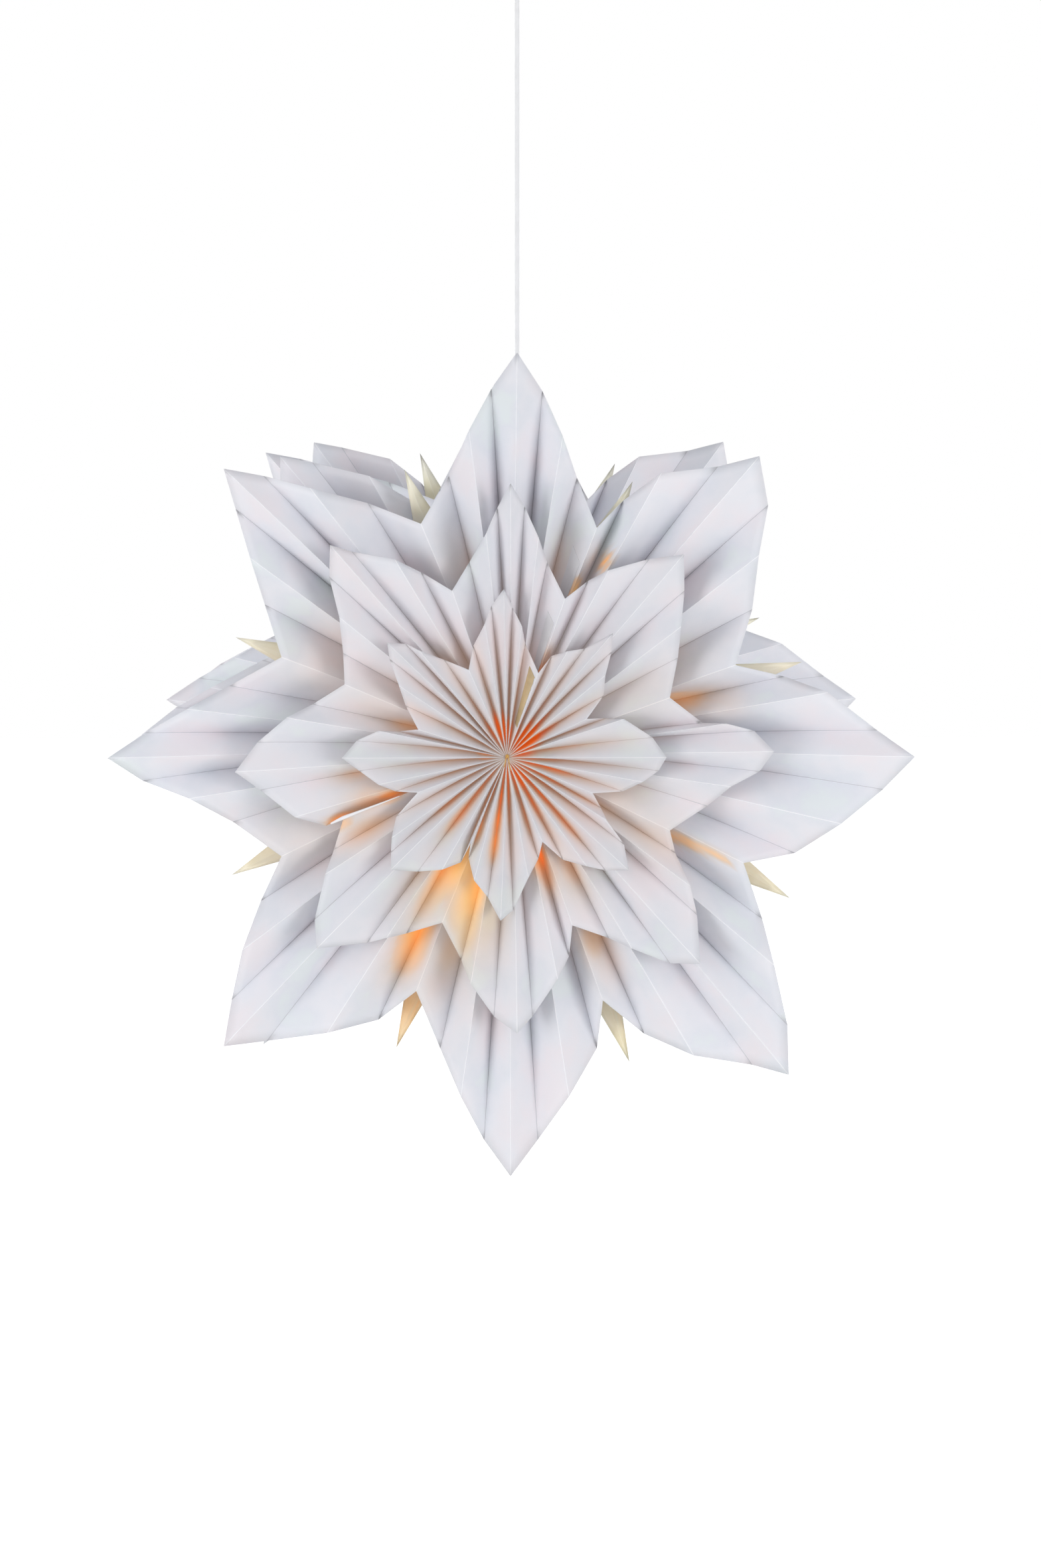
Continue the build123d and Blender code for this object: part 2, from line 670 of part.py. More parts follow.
cup_top_z = -clearance
cup_floor_z = cup_top_z - cup_height
with BuildPart() as ceiling_cup:
    with BuildSketch(Plane.XZ):
        with BuildLine():
            Polyline(
                (cup_radius, cup_top_z),
                (cup_radius, cup_floor_z + cup_corner),
            )
            RadiusArc(
                (cup_radius, cup_floor_z + cup_corner), (cup_radius - cup_corner, cup_floor_z), cup_corner
            )
            Polyline(
                (cup_radius - cup_corner, cup_floor_z),
                (grip_neck_radius + running, cup_floor_z),
                (grip_neck_radius + running, cup_floor_z + cup_wall),
                (cup_radius - cup_corner, cup_floor_z + cup_wall),
            )
            RadiusArc(
                (cup_radius - cup_corner, cup_floor_z + cup_wall),
                (cup_radius - cup_wall, cup_floor_z + cup_corner),
                -(cup_corner - cup_wall),
            )
            Polyline(
                (cup_radius - cup_wall, cup_floor_z + cup_corner),
                (cup_radius - cup_wall, cup_top_z),
                (cup_radius, cup_top_z),
            )
        make_face()
    revolve(axis=Axis.Z)
save(ceiling_cup.part, "ceiling_cup")

grip_end_z = cup_floor_z - grip_height
grip_screw_z = cup_floor_z - grip_height / 2
with BuildPart() as cup_grip:
    with BuildSketch(Plane.XY.offset(cup_floor_z)):
        Circle(grip_radius)
    extrude(amount=-grip_height)
    fillet(cup_grip.edges().sort_by(Axis.Z)[0], radius=grip_round)
    neck_height = cup_wall + grip_nut_height + grip_neck_rest
    with BuildSketch(Plane.XY.offset(cup_floor_z)):
        Circle(grip_neck_radius)
    extrude(amount=neck_height)
    with BuildSketch(Plane.XY.offset(grip_end_z)):
        Circle(cord_bore)
    extrude(amount=grip_height + neck_height, mode=Mode.SUBTRACT)
    with BuildSketch(Plane.YZ):
        with Locations((0, grip_screw_z)):
            Circle(grip_screw_radius + running)
    extrude(amount=grip_radius + running, mode=Mode.SUBTRACT)
save(cup_grip.part, "cup_grip")

with BuildPart() as grip_nut:
    with BuildSketch(Plane.XY.offset(cup_floor_z + cup_wall)):
        RegularPolygon(grip_nut_radius, 6)
        Circle(grip_neck_radius + running, mode=Mode.SUBTRACT)
    extrude(amount=grip_nut_height)
save(grip_nut.part, "grip_nut")

slotted_screw("grip_screw", grip_radius, grip_screw_z)

print(f"cord: one straight run of {cord_length:.1f} mm, no bend")
print(f"free cord from the cup grip to the lampholder: {grip_end_z - nipple_z:.1f} mm")
print(f"bulb centre {star_z - bulb_z:.1f} mm below the star's middle")
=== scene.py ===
"""Layered paper star pendant, seen as in the photograph. Metres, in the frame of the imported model."""

from math import atan2, cos, degrees, exp, hypot, pi, radians, sin, sqrt

import bpy
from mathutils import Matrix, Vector, noise


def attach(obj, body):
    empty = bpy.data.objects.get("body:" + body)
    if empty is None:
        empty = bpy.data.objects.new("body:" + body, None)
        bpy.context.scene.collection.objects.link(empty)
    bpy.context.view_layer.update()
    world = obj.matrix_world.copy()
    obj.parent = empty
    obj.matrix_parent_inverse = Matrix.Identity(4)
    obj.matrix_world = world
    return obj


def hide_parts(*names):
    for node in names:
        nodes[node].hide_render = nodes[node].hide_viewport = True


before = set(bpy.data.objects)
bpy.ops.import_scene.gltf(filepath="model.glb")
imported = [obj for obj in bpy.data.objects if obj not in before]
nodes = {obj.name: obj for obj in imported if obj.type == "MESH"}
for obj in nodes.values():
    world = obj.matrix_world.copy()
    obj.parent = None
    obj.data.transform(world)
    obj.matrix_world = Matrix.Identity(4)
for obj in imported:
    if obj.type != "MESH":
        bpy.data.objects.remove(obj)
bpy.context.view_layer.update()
scene = bpy.context.scene

# ---------------------------------------------------------------- camera
STAR_Z = -0.802
PHOTO_WIDTH, PHOTO_HEIGHT = 1568, 2362
FOCAL_PX = 2628.0
SHIFT = 0.2  # the picture is cut from below the lens axis, in long sides
AXIS_PX = (PHOTO_WIDTH / 2, PHOTO_HEIGHT / 2 - SHIFT * PHOTO_HEIGHT)
PITCH, YAW = radians(3.636), radians(0.305)
EYE = Vector((-0.006, -1.760, STAR_Z + 0.3717))
STAR_X = -0.006  # the stars hang a little left of the cord

AHEAD = Vector((sin(YAW) * cos(PITCH), cos(YAW) * cos(PITCH), -sin(PITCH)))
RIGHT = Vector((cos(YAW), -sin(YAW), 0.0))
UP = RIGHT.cross(AHEAD)

camera_data = bpy.data.cameras.new("camera")
camera_data.sensor_fit = "AUTO"
camera_data.sensor_width = 36.0
camera_data.lens = FOCAL_PX / PHOTO_HEIGHT * 36.0
camera_data.shift_y = -SHIFT
camera_data.clip_start, camera_data.clip_end = 0.05, 60.0
camera = bpy.data.objects.new("camera", camera_data)
camera.location = EYE
camera.rotation_euler = (pi / 2 - PITCH, 0.0, -YAW)
scene.collection.objects.link(camera)
scene.camera = camera


def seen_at(px, py, y):
    """The point at depth y that the photograph shows at a pixel."""
    ray = AHEAD + RIGHT * ((px - AXIS_PX[0]) / FOCAL_PX) - UP * ((py - AXIS_PX[1]) / FOCAL_PX)
    return EYE + ray * ((y - EYE.y) / ray.y)


# ---------------------------------------------------------------- materials
def shader(name, roughness=0.6, **inputs):
    """A new material with its nodes, links and main shader."""
    material = bpy.data.materials.new(name)
    material.use_nodes = True
    tree = material.node_tree
    main = tree.nodes["Principled BSDF"]
    main.inputs["Roughness"].default_value = roughness
    for key, value in inputs.items():
        main.inputs[key.replace("_", " ")].default_value = value
    return material, tree.nodes, tree.links, main


def colour(r, g, b):
    """Linear colour from the 0-255 values of a picture."""

    def linear(c):
        c /= 255.0
        return c / 12.92 if c <= 0.04045 else ((c + 0.055) / 1.055) ** 2.4

    return (linear(r), linear(g), linear(b), 1.0)


def noise_node(tree_nodes, links, scale, detail):
    """Noise in object space, in cycles a metre."""
    place = tree_nodes.new("ShaderNodeTexCoord")
    texture = tree_nodes.new("ShaderNodeTexNoise")
    texture.inputs["Scale"].default_value = scale
    texture.inputs["Detail"].default_value = detail
    links.new(place.outputs["Object"], texture.inputs["Vector"])
    return texture


def ramp(tree_nodes, links, source, *stops):
    """Colour ramp fed by a socket: stops are (position, colour)."""
    node = tree_nodes.new("ShaderNodeValToRGB")
    band = node.color_ramp
    band.elements[0].position, band.elements[0].color = stops[0]
    band.elements[1].position, band.elements[1].color = stops[-1]
    for position, value in stops[1:-1]:
        element = band.elements.new(position)
        element.color = value
    links.new(source, node.inputs["Fac"])
    return node


def bump(tree_nodes, links, source, main, strength, distance):
    """Bump on the main shader from a height socket."""
    node = tree_nodes.new("ShaderNodeBump")
    node.inputs["Strength"].default_value = strength
    node.inputs["Distance"].default_value = distance
    links.new(source, node.inputs["Height"])
    links.new(node.outputs["Normal"], main.inputs["Normal"])


def mix(tree_nodes, links, kind, factor, a, b):
    """Mixes two colours. Each argument is a socket or a value."""
    node = tree_nodes.new("ShaderNodeMix")
    node.data_type = "RGBA"
    node.blend_type = kind
    for index, value in ((0, factor), (6, a), (7, b)):
        if isinstance(value, bpy.types.NodeSocket):
            links.new(value, node.inputs[index])
        else:
            node.inputs[index].default_value = value
    return node.outputs[2]


def maths(tree_nodes, links, kind, *values):
    """A math node. Each value is a socket or a number."""
    node = tree_nodes.new("ShaderNodeMath")
    node.operation = kind
    for index, value in enumerate(values):
        if isinstance(value, bpy.types.NodeSocket):
            links.new(value, node.inputs[index])
        else:
            node.inputs[index].default_value = value
    return node.outputs[0]


def looked_at(tree_nodes, links):
    """1 for rays that the camera, a mirror or a clear material sends out, and 0 for all others."""
    path = tree_nodes.new("ShaderNodeLightPath")
    total = maths(tree_nodes, links, "ADD", path.outputs["Is Camera Ray"], path.outputs["Is Glossy Ray"])
    total = maths(tree_nodes, links, "ADD", total, path.outputs["Is Transmission Ray"])
    return maths(tree_nodes, links, "MINIMUM", total, 1.0)


POINT_VALUES = ("crest", "valley", "glow", "warm_hue", "shade", "through")  # kept at each point of the paper
THROUGH_LIGHT = (252, 226, 210)  # the lamp's light as it comes through one sheet
SHADED = (205, 199, 196)  # painted shade: what the depth of a fold, nearness to the hub and the small and medium stars as a whole multiply the paper's colour by
LAMPLIT, LAMPLIT_GAIN = (249, 232, 214), 3.2  # painted lamp light: the same for a warm place, and how soon it is reached
PAINTED_LAMP_GAIN, PAINTED_LAMP_FROM = 1.5, -0.3  # how a warm place takes on the lamp's own colour, painted into the paper
LINE_WIDTH = 0.0005  # of the fine painted line along a crease, a highlight on a crest and shade in a valley, on each side of it
GLOW_GAIN, THROUGH_GAIN = 0.34, 0.18  # strength of the warm places and of the light through the sheet


def paper_material(name, light, deep, green, mottle, crest_highlight, valley_shade):
    """Folded paper: fibres, faint tints, pale crest lines of painted highlight, fine valley lines and folds
    of painted shade, and the lamp's warm light painted into its colour and glow.
    """
    material, tree_nodes, links, main = shader(name, 0.82)
    main.inputs["Specular IOR Level"].default_value = 0.2
    named = {}
    for key in POINT_VALUES:
        node = tree_nodes.new("ShaderNodeAttribute")
        node.attribute_name = key
        named[key] = node.outputs["Fac"]
    blotch = noise_node(tree_nodes, links, 16.0, 4.0)
    tone = ramp(
        tree_nodes, links, blotch.outputs["Fac"], (0.34, green), (0.42, deep), (0.52, light), (0.66, mottle)
    )
    # A painted highlight along each crest and painted shade along each valley.
    crest_highlight_line = maths(tree_nodes, links, "LESS_THAN", named["crest"], LINE_WIDTH)
    valley_shade_line = maths(tree_nodes, links, "LESS_THAN", named["valley"], LINE_WIDTH)
    base = mix(tree_nodes, links, "MIX", crest_highlight_line, tone.outputs["Color"], crest_highlight)
    base = mix(tree_nodes, links, "MIX", valley_shade_line, base, valley_shade)
    warm = ramp(
        tree_nodes,
        links,
        named["warm_hue"],
        (0.0, colour(206, 102, 28)),
        (0.3, colour(230, 146, 72)),
        (0.6, colour(250, 190, 114)),
        (0.85, colour(254, 208, 130)),
        (1.0, colour(255, 222, 180)),
    )
    # Painted shade: the paper darkened in its valleys, toward the hub and on the small and medium stars.
    base = mix(tree_nodes, links, "MULTIPLY", named["shade"], base, colour(*SHADED))
    # Painted lamp light: warm places made lighter, then given the lamp's colour.
    painted_lamplit_share = maths(tree_nodes, links, "MULTIPLY", named["glow"], LAMPLIT_GAIN)
    painted_lamplit_share = maths(tree_nodes, links, "MINIMUM", painted_lamplit_share, 1.0)
    base = mix(tree_nodes, links, "MULTIPLY", painted_lamplit_share, base, colour(*LAMPLIT))
    painted_lamp_share = maths(tree_nodes, links, "MULTIPLY_ADD", named["glow"], PAINTED_LAMP_GAIN, PAINTED_LAMP_FROM)
    painted_lamp_share = maths(tree_nodes, links, "MAXIMUM", painted_lamp_share, 0.0)
    painted_lamp_share = maths(tree_nodes, links, "MINIMUM", painted_lamp_share, 1.0)
    base = mix(tree_nodes, links, "MIX", painted_lamp_share, base, warm.outputs["Color"])
    links.new(base, main.inputs["Base Color"])
    fibre = noise_node(tree_nodes, links, 900.0, 2.0)
    bump(tree_nodes, links, fibre.outputs["Fac"], main, 0.12, 0.0004)
    # Painted lamp light: the paper itself glows where the lamp lights it and where its light comes through.
    lit = maths(tree_nodes, links, "POWER", named["glow"], 1.5)
    lit = maths(tree_nodes, links, "MULTIPLY", lit, GLOW_GAIN)
    unlit = maths(tree_nodes, links, "SUBTRACT", 1.0, named["glow"])
    faint = maths(tree_nodes, links, "MULTIPLY", named["through"], THROUGH_GAIN)
    faint = maths(tree_nodes, links, "MULTIPLY", faint, unlit)
    total = maths(tree_nodes, links, "ADD", lit, faint)
    share = maths(tree_nodes, links, "DIVIDE", faint, maths(tree_nodes, links, "ADD", total, 0.0001))
    tinted = mix(tree_nodes, links, "MIX", share, warm.outputs["Color"], colour(*THROUGH_LIGHT))
    links.new(tinted, main.inputs["Emission Color"])
    links.new(total, main.inputs["Emission Strength"])
    return material


def plain_material(name, shade, roughness=0.5, metallic=0.0, grain=600.0, depth=0.00006, spread=0.06):
    """A solid surface with a fine grain and slight colour variation."""
    material, tree_nodes, links, main = shader(name, roughness, Metallic=metallic)
    patch = noise_node(tree_nodes, links, 45.0, 3.0)
    dark = tuple(c * (1.0 - spread * 2) for c in shade[:3]) + (1.0,)
    tone = ramp(tree_nodes, links, patch.outputs["Fac"], (0.3, dark), (0.6, shade))
    links.new(tone.outputs["Color"], main.inputs["Base Color"])
    fine = noise_node(tree_nodes, links, grain, 3.0)
    bump(tree_nodes, links, fine.outputs["Fac"], main, 0.3, depth)
    return material


white_paper = paper_material(
    "white_paper",
    colour(232, 232, 238),
    colour(227, 229, 236),
    colour(228, 233, 236),
    colour(236, 231, 236),
    colour(248, 248, 252),
    colour(210, 210, 216),
)
cream_paper = paper_material(
    "cream_paper",
    colour(249, 245, 224),
    colour(244, 238, 210),
    colour(241, 234, 204),
    colour(250, 247, 232),
    colour(255, 253, 242),
    colour(228, 218, 190),
)
white_plastic = plain_material("white_plastic", colour(238, 238, 236), 0.38, 0.0, 900.0, 0.00002)
white_cord = plain_material("white_cord", colour(236, 236, 238), 0.5, 0.0, 500.0, 0.00003, 0.03)
card = plain_material("hub_card", colour(214, 206, 190), 0.85, 0.0, 700.0, 0.00008)
tape_finish = plain_material("closing_tape", colour(192, 166, 124), 0.4, 0.0, 900.0, 0.0001, 0.16)
paper_edge = plain_material("paper_edge", colour(240, 239, 243), 0.8, 0.0, 900.0, 0.00003, 0.02)
clear_tape = plain_material("clear_tape", colour(226, 225, 228), 0.3, 0.0, 500.0, 0.00002)
thread = plain_material("golden_thread", colour(206, 160, 84), 0.6, 0.0, 2500.0, 0.0001, 0.12)
nylon = plain_material("clear_nylon", colour(222, 224, 222), 0.3)
ceramic = plain_material("holder_ceramic", colour(235, 231, 222), 0.25)
brass = plain_material("brass", colour(206, 172, 104), 0.3, 1.0)
nickel = plain_material("nickel", colour(196, 198, 200), 0.25, 1.0)
zinc = plain_material("zinc_steel", colour(184, 188, 192), 0.35, 1.0)
white_steel = plain_material("white_steel", colour(232, 232, 230), 0.45)
insulation = plain_material("wire_insulation", colour(224, 224, 226), 0.45)
black_glass = plain_material("bulb_insulator", colour(40, 38, 40), 0.2)

bulb_glow, bulb_nodes, bulb_links, bulb_main = shader("bulb_glass", 0.12)
bulb_main.inputs["Base Color"].default_value = colour(255, 232, 190)
bulb_main.inputs["Transmission Weight"].default_value = 0.3
bulb_main.inputs["Emission Color"].default_value = colour(255, 190, 90)
haze = noise_node(bulb_nodes, bulb_links, 60.0, 2.0)
bulb_links.new(
    maths(bulb_nodes, bulb_links, "MULTIPLY_ADD", haze.outputs["Fac"], 0.6, 1.0),
    bulb_main.inputs["Emission Strength"],
)
lit_filament, lit_nodes, lit_links, lit_main = shader("filament", 0.4)
lit_main.inputs["Base Color"].default_value = colour(255, 210, 120)
lit_main.inputs["Emission Color"].default_value = colour(255, 180, 70)
lit_ripple = noise_node(lit_nodes, lit_links, 900.0, 1.0)
lit_links.new(
    maths(lit_nodes, lit_links, "MULTIPLY_ADD", lit_ripple.outputs["Fac"], 6.0, 9.0),
    lit_main.inputs["Emission Strength"],
)

SLOT_FINISH = {
    "white_paper": white_paper,
    "cream_paper": cream_paper,
    "hub_card": card,
    "closing_tape": tape_finish,
    "golden_thread": thread,
    "white_cord": white_cord,
    "white_plastic": white_plastic,
    "clear_nylon": nylon,
    "holder_ceramic": ceramic,
    "brass": brass,
    "nickel": nickel,
    "zinc_steel": zinc,
    "white_steel": white_steel,
    "wire_insulation": insulation,
    "bulb_insulator": black_glass,
    "bulb_glass": bulb_glow,
    "filament": lit_filament,
}


def finish_node(name, material):
    """Gives a carried-over node its procedural material."""
    o = nodes[name]
    if not o.data.materials:
        o.data.materials.append(material)
    for entry in o.material_slots:
        entry.material = material


NODE_SLOT = {
    "ceiling_strap": "zinc_steel",
    "cord_anchor": "clear_nylon",
    "anchor_screw": "nickel",
    "terminal_block": "clear_nylon",
    "terminal_screws": "brass",
    "feed_wires": "wire_insulation",
    "ceiling_cup": "white_plastic",
    "cup_grip": "white_plastic",
    "grip_nut": "white_plastic",
    "grip_screw": "clear_nylon",
    "holder_cap": "white_plastic",
    "holder_skirt": "white_plastic",
    "holder_insert": "holder_ceramic",
    "holder_thread_shell": "nickel",
    "holder_contact": "brass",
    "holder_grip_screw": "clear_nylon",
    "carrier_bracket": "white_steel",
    "front_hub_disc": "hub_card",
    "rear_hub_disc": "hub_card",
    "shade_ring": "white_plastic",
    "bulb_base": "nickel",
    "bulb_contact": "bulb_insulator",
    "bulb_glass": "bulb_glass",
    "bulb_stem": "bulb_glass",
    "bulb_filaments": "filament",
}
for node_name, slot_name in NODE_SLOT.items():
    finish_node(node_name, SLOT_FINISH[slot_name])

# ---------------------------------------------------------------- cord
CORD_TOP, CORD_END = -0.010, -0.8348
CORD_DIAMETER, CORD_LENGTH = 0.0047, 0.8248
cord_line = bpy.data.curves.new("cord", "CURVE")
cord_line.dimensions = "3D"
cord_line.bevel_depth = CORD_DIAMETER / 2
cord_line.bevel_resolution = 6
cord_line.resolution_u = 24
cord_line.use_fill_caps = True
cord_spline = cord_line.splines.new("NURBS")
cord_points = (CORD_TOP, CORD_TOP - 6 * CORD_DIAMETER, CORD_END + 6 * CORD_DIAMETER, CORD_END)
cord_spline.points.add(len(cord_points) - 1)
for control, z in zip(cord_spline.points, cord_points):
    control.co = (0.0, 0.0, z, 1.0)
cord_spline.order_u = 3
cord_spline.use_endpoint_u = True
cord = bpy.data.objects.new("pendant_cord", cord_line)
scene.collection.objects.link(cord)
cord_line.materials.append(white_cord)
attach(cord, "base")
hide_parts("cord")

# ---------------------------------------------------------------- pleated stars
FLARE_POWER = 1.5  # of the curve by which the points lean away from the hub
FOLD_SPREAD = radians(5.625)  # 64 folds round the hub
WIDEST_FOLD = 0.95  # most spread of a fold, as a share of its width
FOLD_ANGLES = (0.0, 4.2, 9.0, 15.8, 22.5)
RIM_SHARES = (1.0, 0.92, 0.83, 0.72, 0.62)


class Sheet:
    """The curved surface that a folded star lies on: its depth at a radius, on a crest or in a valley."""

    hub = (0.0, 0.0)

    def __init__(self, side, place, flare, reach, pleat, bore, tip_side):
        self.side, self.place, self.flare = side, place, flare
        self.reach, self.pleat, self.bore, self.tip_side = reach, pleat, bore, tip_side

    def depth(self, r):
        spread = min(r * FOLD_SPREAD, WIDEST_FOLD * self.pleat)
        return sqrt(self.pleat**2 - spread**2)

    def y(self, r, fold):
        out = self.place + self.flare * (r / self.reach) ** FLARE_POWER
        return self.side * (out + self.tip_side * fold * self.depth(r) / 2)

    def landed(self, px, py, fold):
        """Angle and radius of a crease's end that the photograph shows at a pixel."""
        r = 0.8 * self.reach
        for _ in range(8):
            spot = seen_at(px, py, self.y(r, fold))
            across, up = spot.x - STAR_X, spot.z - STAR_Z
            r = hypot(across, up)
        return degrees(atan2(across, up)), r


SPIKE_REACH, SPIKE_HUB_DEPTH, SPIKE_TIP_DEPTH = 0.288, 0.0024, 0.0100


class SpikeSheet(Sheet):
    """The cream star's surface: shallow folds."""

    def depth(self, r):
        return SPIKE_HUB_DEPTH + (SPIKE_TIP_DEPTH - SPIKE_HUB_DEPTH) * r / SPIKE_REACH


FRONT, REAR = -1, 1
# Side, place along the depth, flare, reach, fold width, bore, and 1 where the points' crests face outward.
FRONT_SPIKES = SpikeSheet(FRONT, 0.06798, 0.0407, SPIKE_REACH, 0.010, 0.010, 1)
REAR_SPIKES = SpikeSheet(REAR, 0.07198, 0.051, SPIKE_REACH, 0.010, 0.010, -1)
SHEETS = {
    "front_inner_star": Sheet(FRONT, 0.0483, 0.050, 0.355, 0.034, 0.008, 1),
    "front_large_star": Sheet(FRONT, 0.08966, 0.070, 0.382, 0.038, 0.008, 1),
    "front_medium_star": Sheet(FRONT, 0.12396, 0.040, 0.254, 0.026, 0.005, 1),
    "front_small_star": Sheet(FRONT, 0.14776, 0.018, 0.152, 0.017, 0.002, 1),
    "rear_large_star": Sheet(REAR, 0.0503, 0.0634, 0.382, 0.038, 0.008, -1),
    "rear_inner_star": Sheet(REAR, 0.09166, 0.0834, 0.355, 0.034, 0.008, -1),
    "rear_medium_star": Sheet(REAR, 0.12396, 0.040, 0.254, 0.026, 0.005, 1),
    "rear_small_star": Sheet(REAR, 0.14776, 0.018, 0.152, 0.017, 0.002, 1),
}

SHEETS["front_small_star"].hub = (-0.0042, 0.0016)  # its folds meet a little left of the middle and above it

# Where the creases end in the photograph, clockwise from each star's top point: a point, three
# creases and the notch, then up the next point. A row is one point with the notch after it.
LARGE_RIM = (
    (779, 531), (817, 589), (848, 658), (869, 720),
    (899, 795), (939, 754), (996, 713), (1081, 703),
    (1144, 687), (1157, 761), (1143, 837), (1133, 918),
    (1108, 1002), (1181, 1019), (1247, 1043), (1321, 1100),
    (1378, 1140), (1330, 1189), (1267, 1241), (1197, 1285),
    (1120, 1300), (1148, 1384), (1166, 1454), (1186, 1544),
    (1188, 1619), (1133, 1604), (1045, 1590), (970, 1557),
    (908, 1507), (899, 1579), (857, 1652), (810, 1717),
    (769, 1772), (729, 1717), (694, 1652), (663, 1579),
    (627, 1493), (570, 1536), (493, 1556), (402, 1568),
    (337, 1576), (349, 1506), (365, 1431), (393, 1357),
    (424, 1290), (351, 1238), (285, 1203), (215, 1176),
    (162, 1142), (219, 1104), (282, 1068), (346, 1033),
    (424, 990), (399, 911), (377, 841), (355, 767),
    (337, 706), (397, 717), (467, 735), (554, 758),
    (634, 789), (676, 717), (706, 649), (740, 586),
)
MEDIUM_RIM = (
    (769, 728), (790, 763), (811, 809), (824, 847),
    (851, 902), (886, 875), (917, 859), (978, 842),
    (1030, 835), (1031, 890), (1026, 944), (1021, 991),
    (1009, 1051), (1058, 1089), (1094, 1090), (1136, 1101),
    (1166, 1132), (1144, 1162), (1101, 1185), (1065, 1214),
    (1009, 1251), (1017, 1285), (1040, 1335), (1050, 1378),
    (1055, 1452), (1009, 1451), (952, 1429), (917, 1413),
    (862, 1394), (857, 1440), (840, 1475), (802, 1531),
    (779, 1557), (744, 1531), (709, 1482), (695, 1446),
    (666, 1390), (612, 1406), (582, 1413), (553, 1420),
    (477, 1429), (474, 1385), (490, 1317), (503, 1280),
    (518, 1231), (491, 1244), (444, 1231), (392, 1190),
    (354, 1163), (388, 1118), (432, 1081), (471, 1061),
    (519, 1031), (517, 984), (511, 930), (496, 869),
    (497, 821), (530, 831), (595, 843), (634, 862),
    (681, 890), (707, 847), (732, 804), (749, 765),
)
SMALL_RIM = (
    (759, 887), (772, 915), (786, 943), (791, 969),
    (811, 1014), (831, 988), (855, 981), (881, 977),
    (923, 954), (921, 982), (912, 1017), (909, 1048),
    (884, 1083), (912, 1082), (940, 1083), (983, 1111),
    (1004, 1141), (992, 1161), (968, 1178), (938, 1192),
    (893, 1195), (905, 1217), (914, 1236), (940, 1272),
    (947, 1311), (912, 1311), (884, 1305), (848, 1295),
    (817, 1268), (811, 1293), (796, 1322), (773, 1371),
    (754, 1387), (735, 1352), (714, 1326), (706, 1293),
    (709, 1270), (694, 1299), (666, 1310), (629, 1313),
    (589, 1310), (589, 1284), (590, 1262), (597, 1230),
    (629, 1194), (596, 1192), (570, 1182), (541, 1161),
    (515, 1142), (537, 1116), (570, 1101), (600, 1102),
    (630, 1099), (611, 1063), (601, 1033), (587, 993),
    (583, 968), (611, 970), (632, 980), (669, 994),
    (706, 1009), (713, 973), (730, 940), (740, 913),
)
# The rear unit is seen as the same outline, smaller and higher.
REAR_SCALE, REAR_CENTRE, FRONT_CENTRE = 0.854, (770.0, 1053.7), (770.0, 1141.5)


def rear_pixel(px, py):
    """Where the rear unit shows what the front unit shows at a pixel."""
    return (
        REAR_CENTRE[0] + (px - FRONT_CENTRE[0]) * REAR_SCALE,
        REAR_CENTRE[1] + (py - FRONT_CENTRE[1]) * REAR_SCALE,
    )


def even_rim(sheet, turns=(0.0,) * 8):
    """Crease ends of a regular star, or of one whose points are each turned by an angle."""
    rim = []
    for k in range(8):
        turn, turn_after = turns[k], turns[(k + 1) % 8]
        for number in (0, 1, 2, 3, 4, -3, -2, -1):
            angle = FOLD_ANGLES[abs(number)] if number >= 0 else 45.0 - FOLD_ANGLES[-number]
            own = (turn + turn_after) / 2 if number == 4 else turn if number >= 0 else turn_after
            rim.append((k * 45.0 + own + angle, RIM_SHARES[abs(number)] * sheet.reach))
    return rim


def seen_rim(sheet, pixels):
    """Crease ends where the photograph shows them."""
    return [sheet.landed(px, py, 1 if i % 2 == 0 else -1) for i, (px, py) in enumerate(pixels)]


# The inner stars are turned against the large ones, each point as far as the photograph allows: it shows the
# right side of the upper left one past the large star and the tip of the lower left one, and hides the rest.
FRONT_INNER_TURNS = (0.0, -3.0, 4.5, 6.5, 3.0, -4.1, 2.0, 6.5)
REAR_INNER_TURNS = (0.0, 6.5, 6.5, 6.5, 6.5, 3.5, 1.5, 6.5)
INNER_SEEN = {40: (397, 1573), 56: (422, 688), 57: (471, 697), 58: (556, 717)}


def inner_rim(sheet, turns, place=lambda px, py: (px, py)):
    """Crease ends of an inner star, evenly spaced where the photograph hides them."""
    rim = even_rim(sheet, turns)
    for number, (px, py) in INNER_SEEN.items():
        angle, r = sheet.landed(*place(px, py), 1 if number % 2 == 0 else -1)
        rim[number] = (angle % 360.0, r)
    return rim


RIMS = {
    "front_large_star": seen_rim(SHEETS["front_large_star"], LARGE_RIM),
    "rear_large_star": seen_rim(SHEETS["rear_large_star"], [rear_pixel(*p) for p in LARGE_RIM]),
    "front_inner_star": inner_rim(SHEETS["front_inner_star"], FRONT_INNER_TURNS),
    "rear_inner_star": inner_rim(SHEETS["rear_inner_star"], REAR_INNER_TURNS, rear_pixel),
    "front_medium_star": seen_rim(SHEETS["front_medium_star"], MEDIUM_RIM),
    "rear_medium_star": even_rim(SHEETS["rear_medium_star"]),
    "front_small_star": seen_rim(SHEETS["front_small_star"], SMALL_RIM),
    "rear_small_star": even_rim(SHEETS["rear_small_star"]),
}

PAPER = 0.0003  # thickness
LAMP = Vector((0.0, 0.0, -0.923))
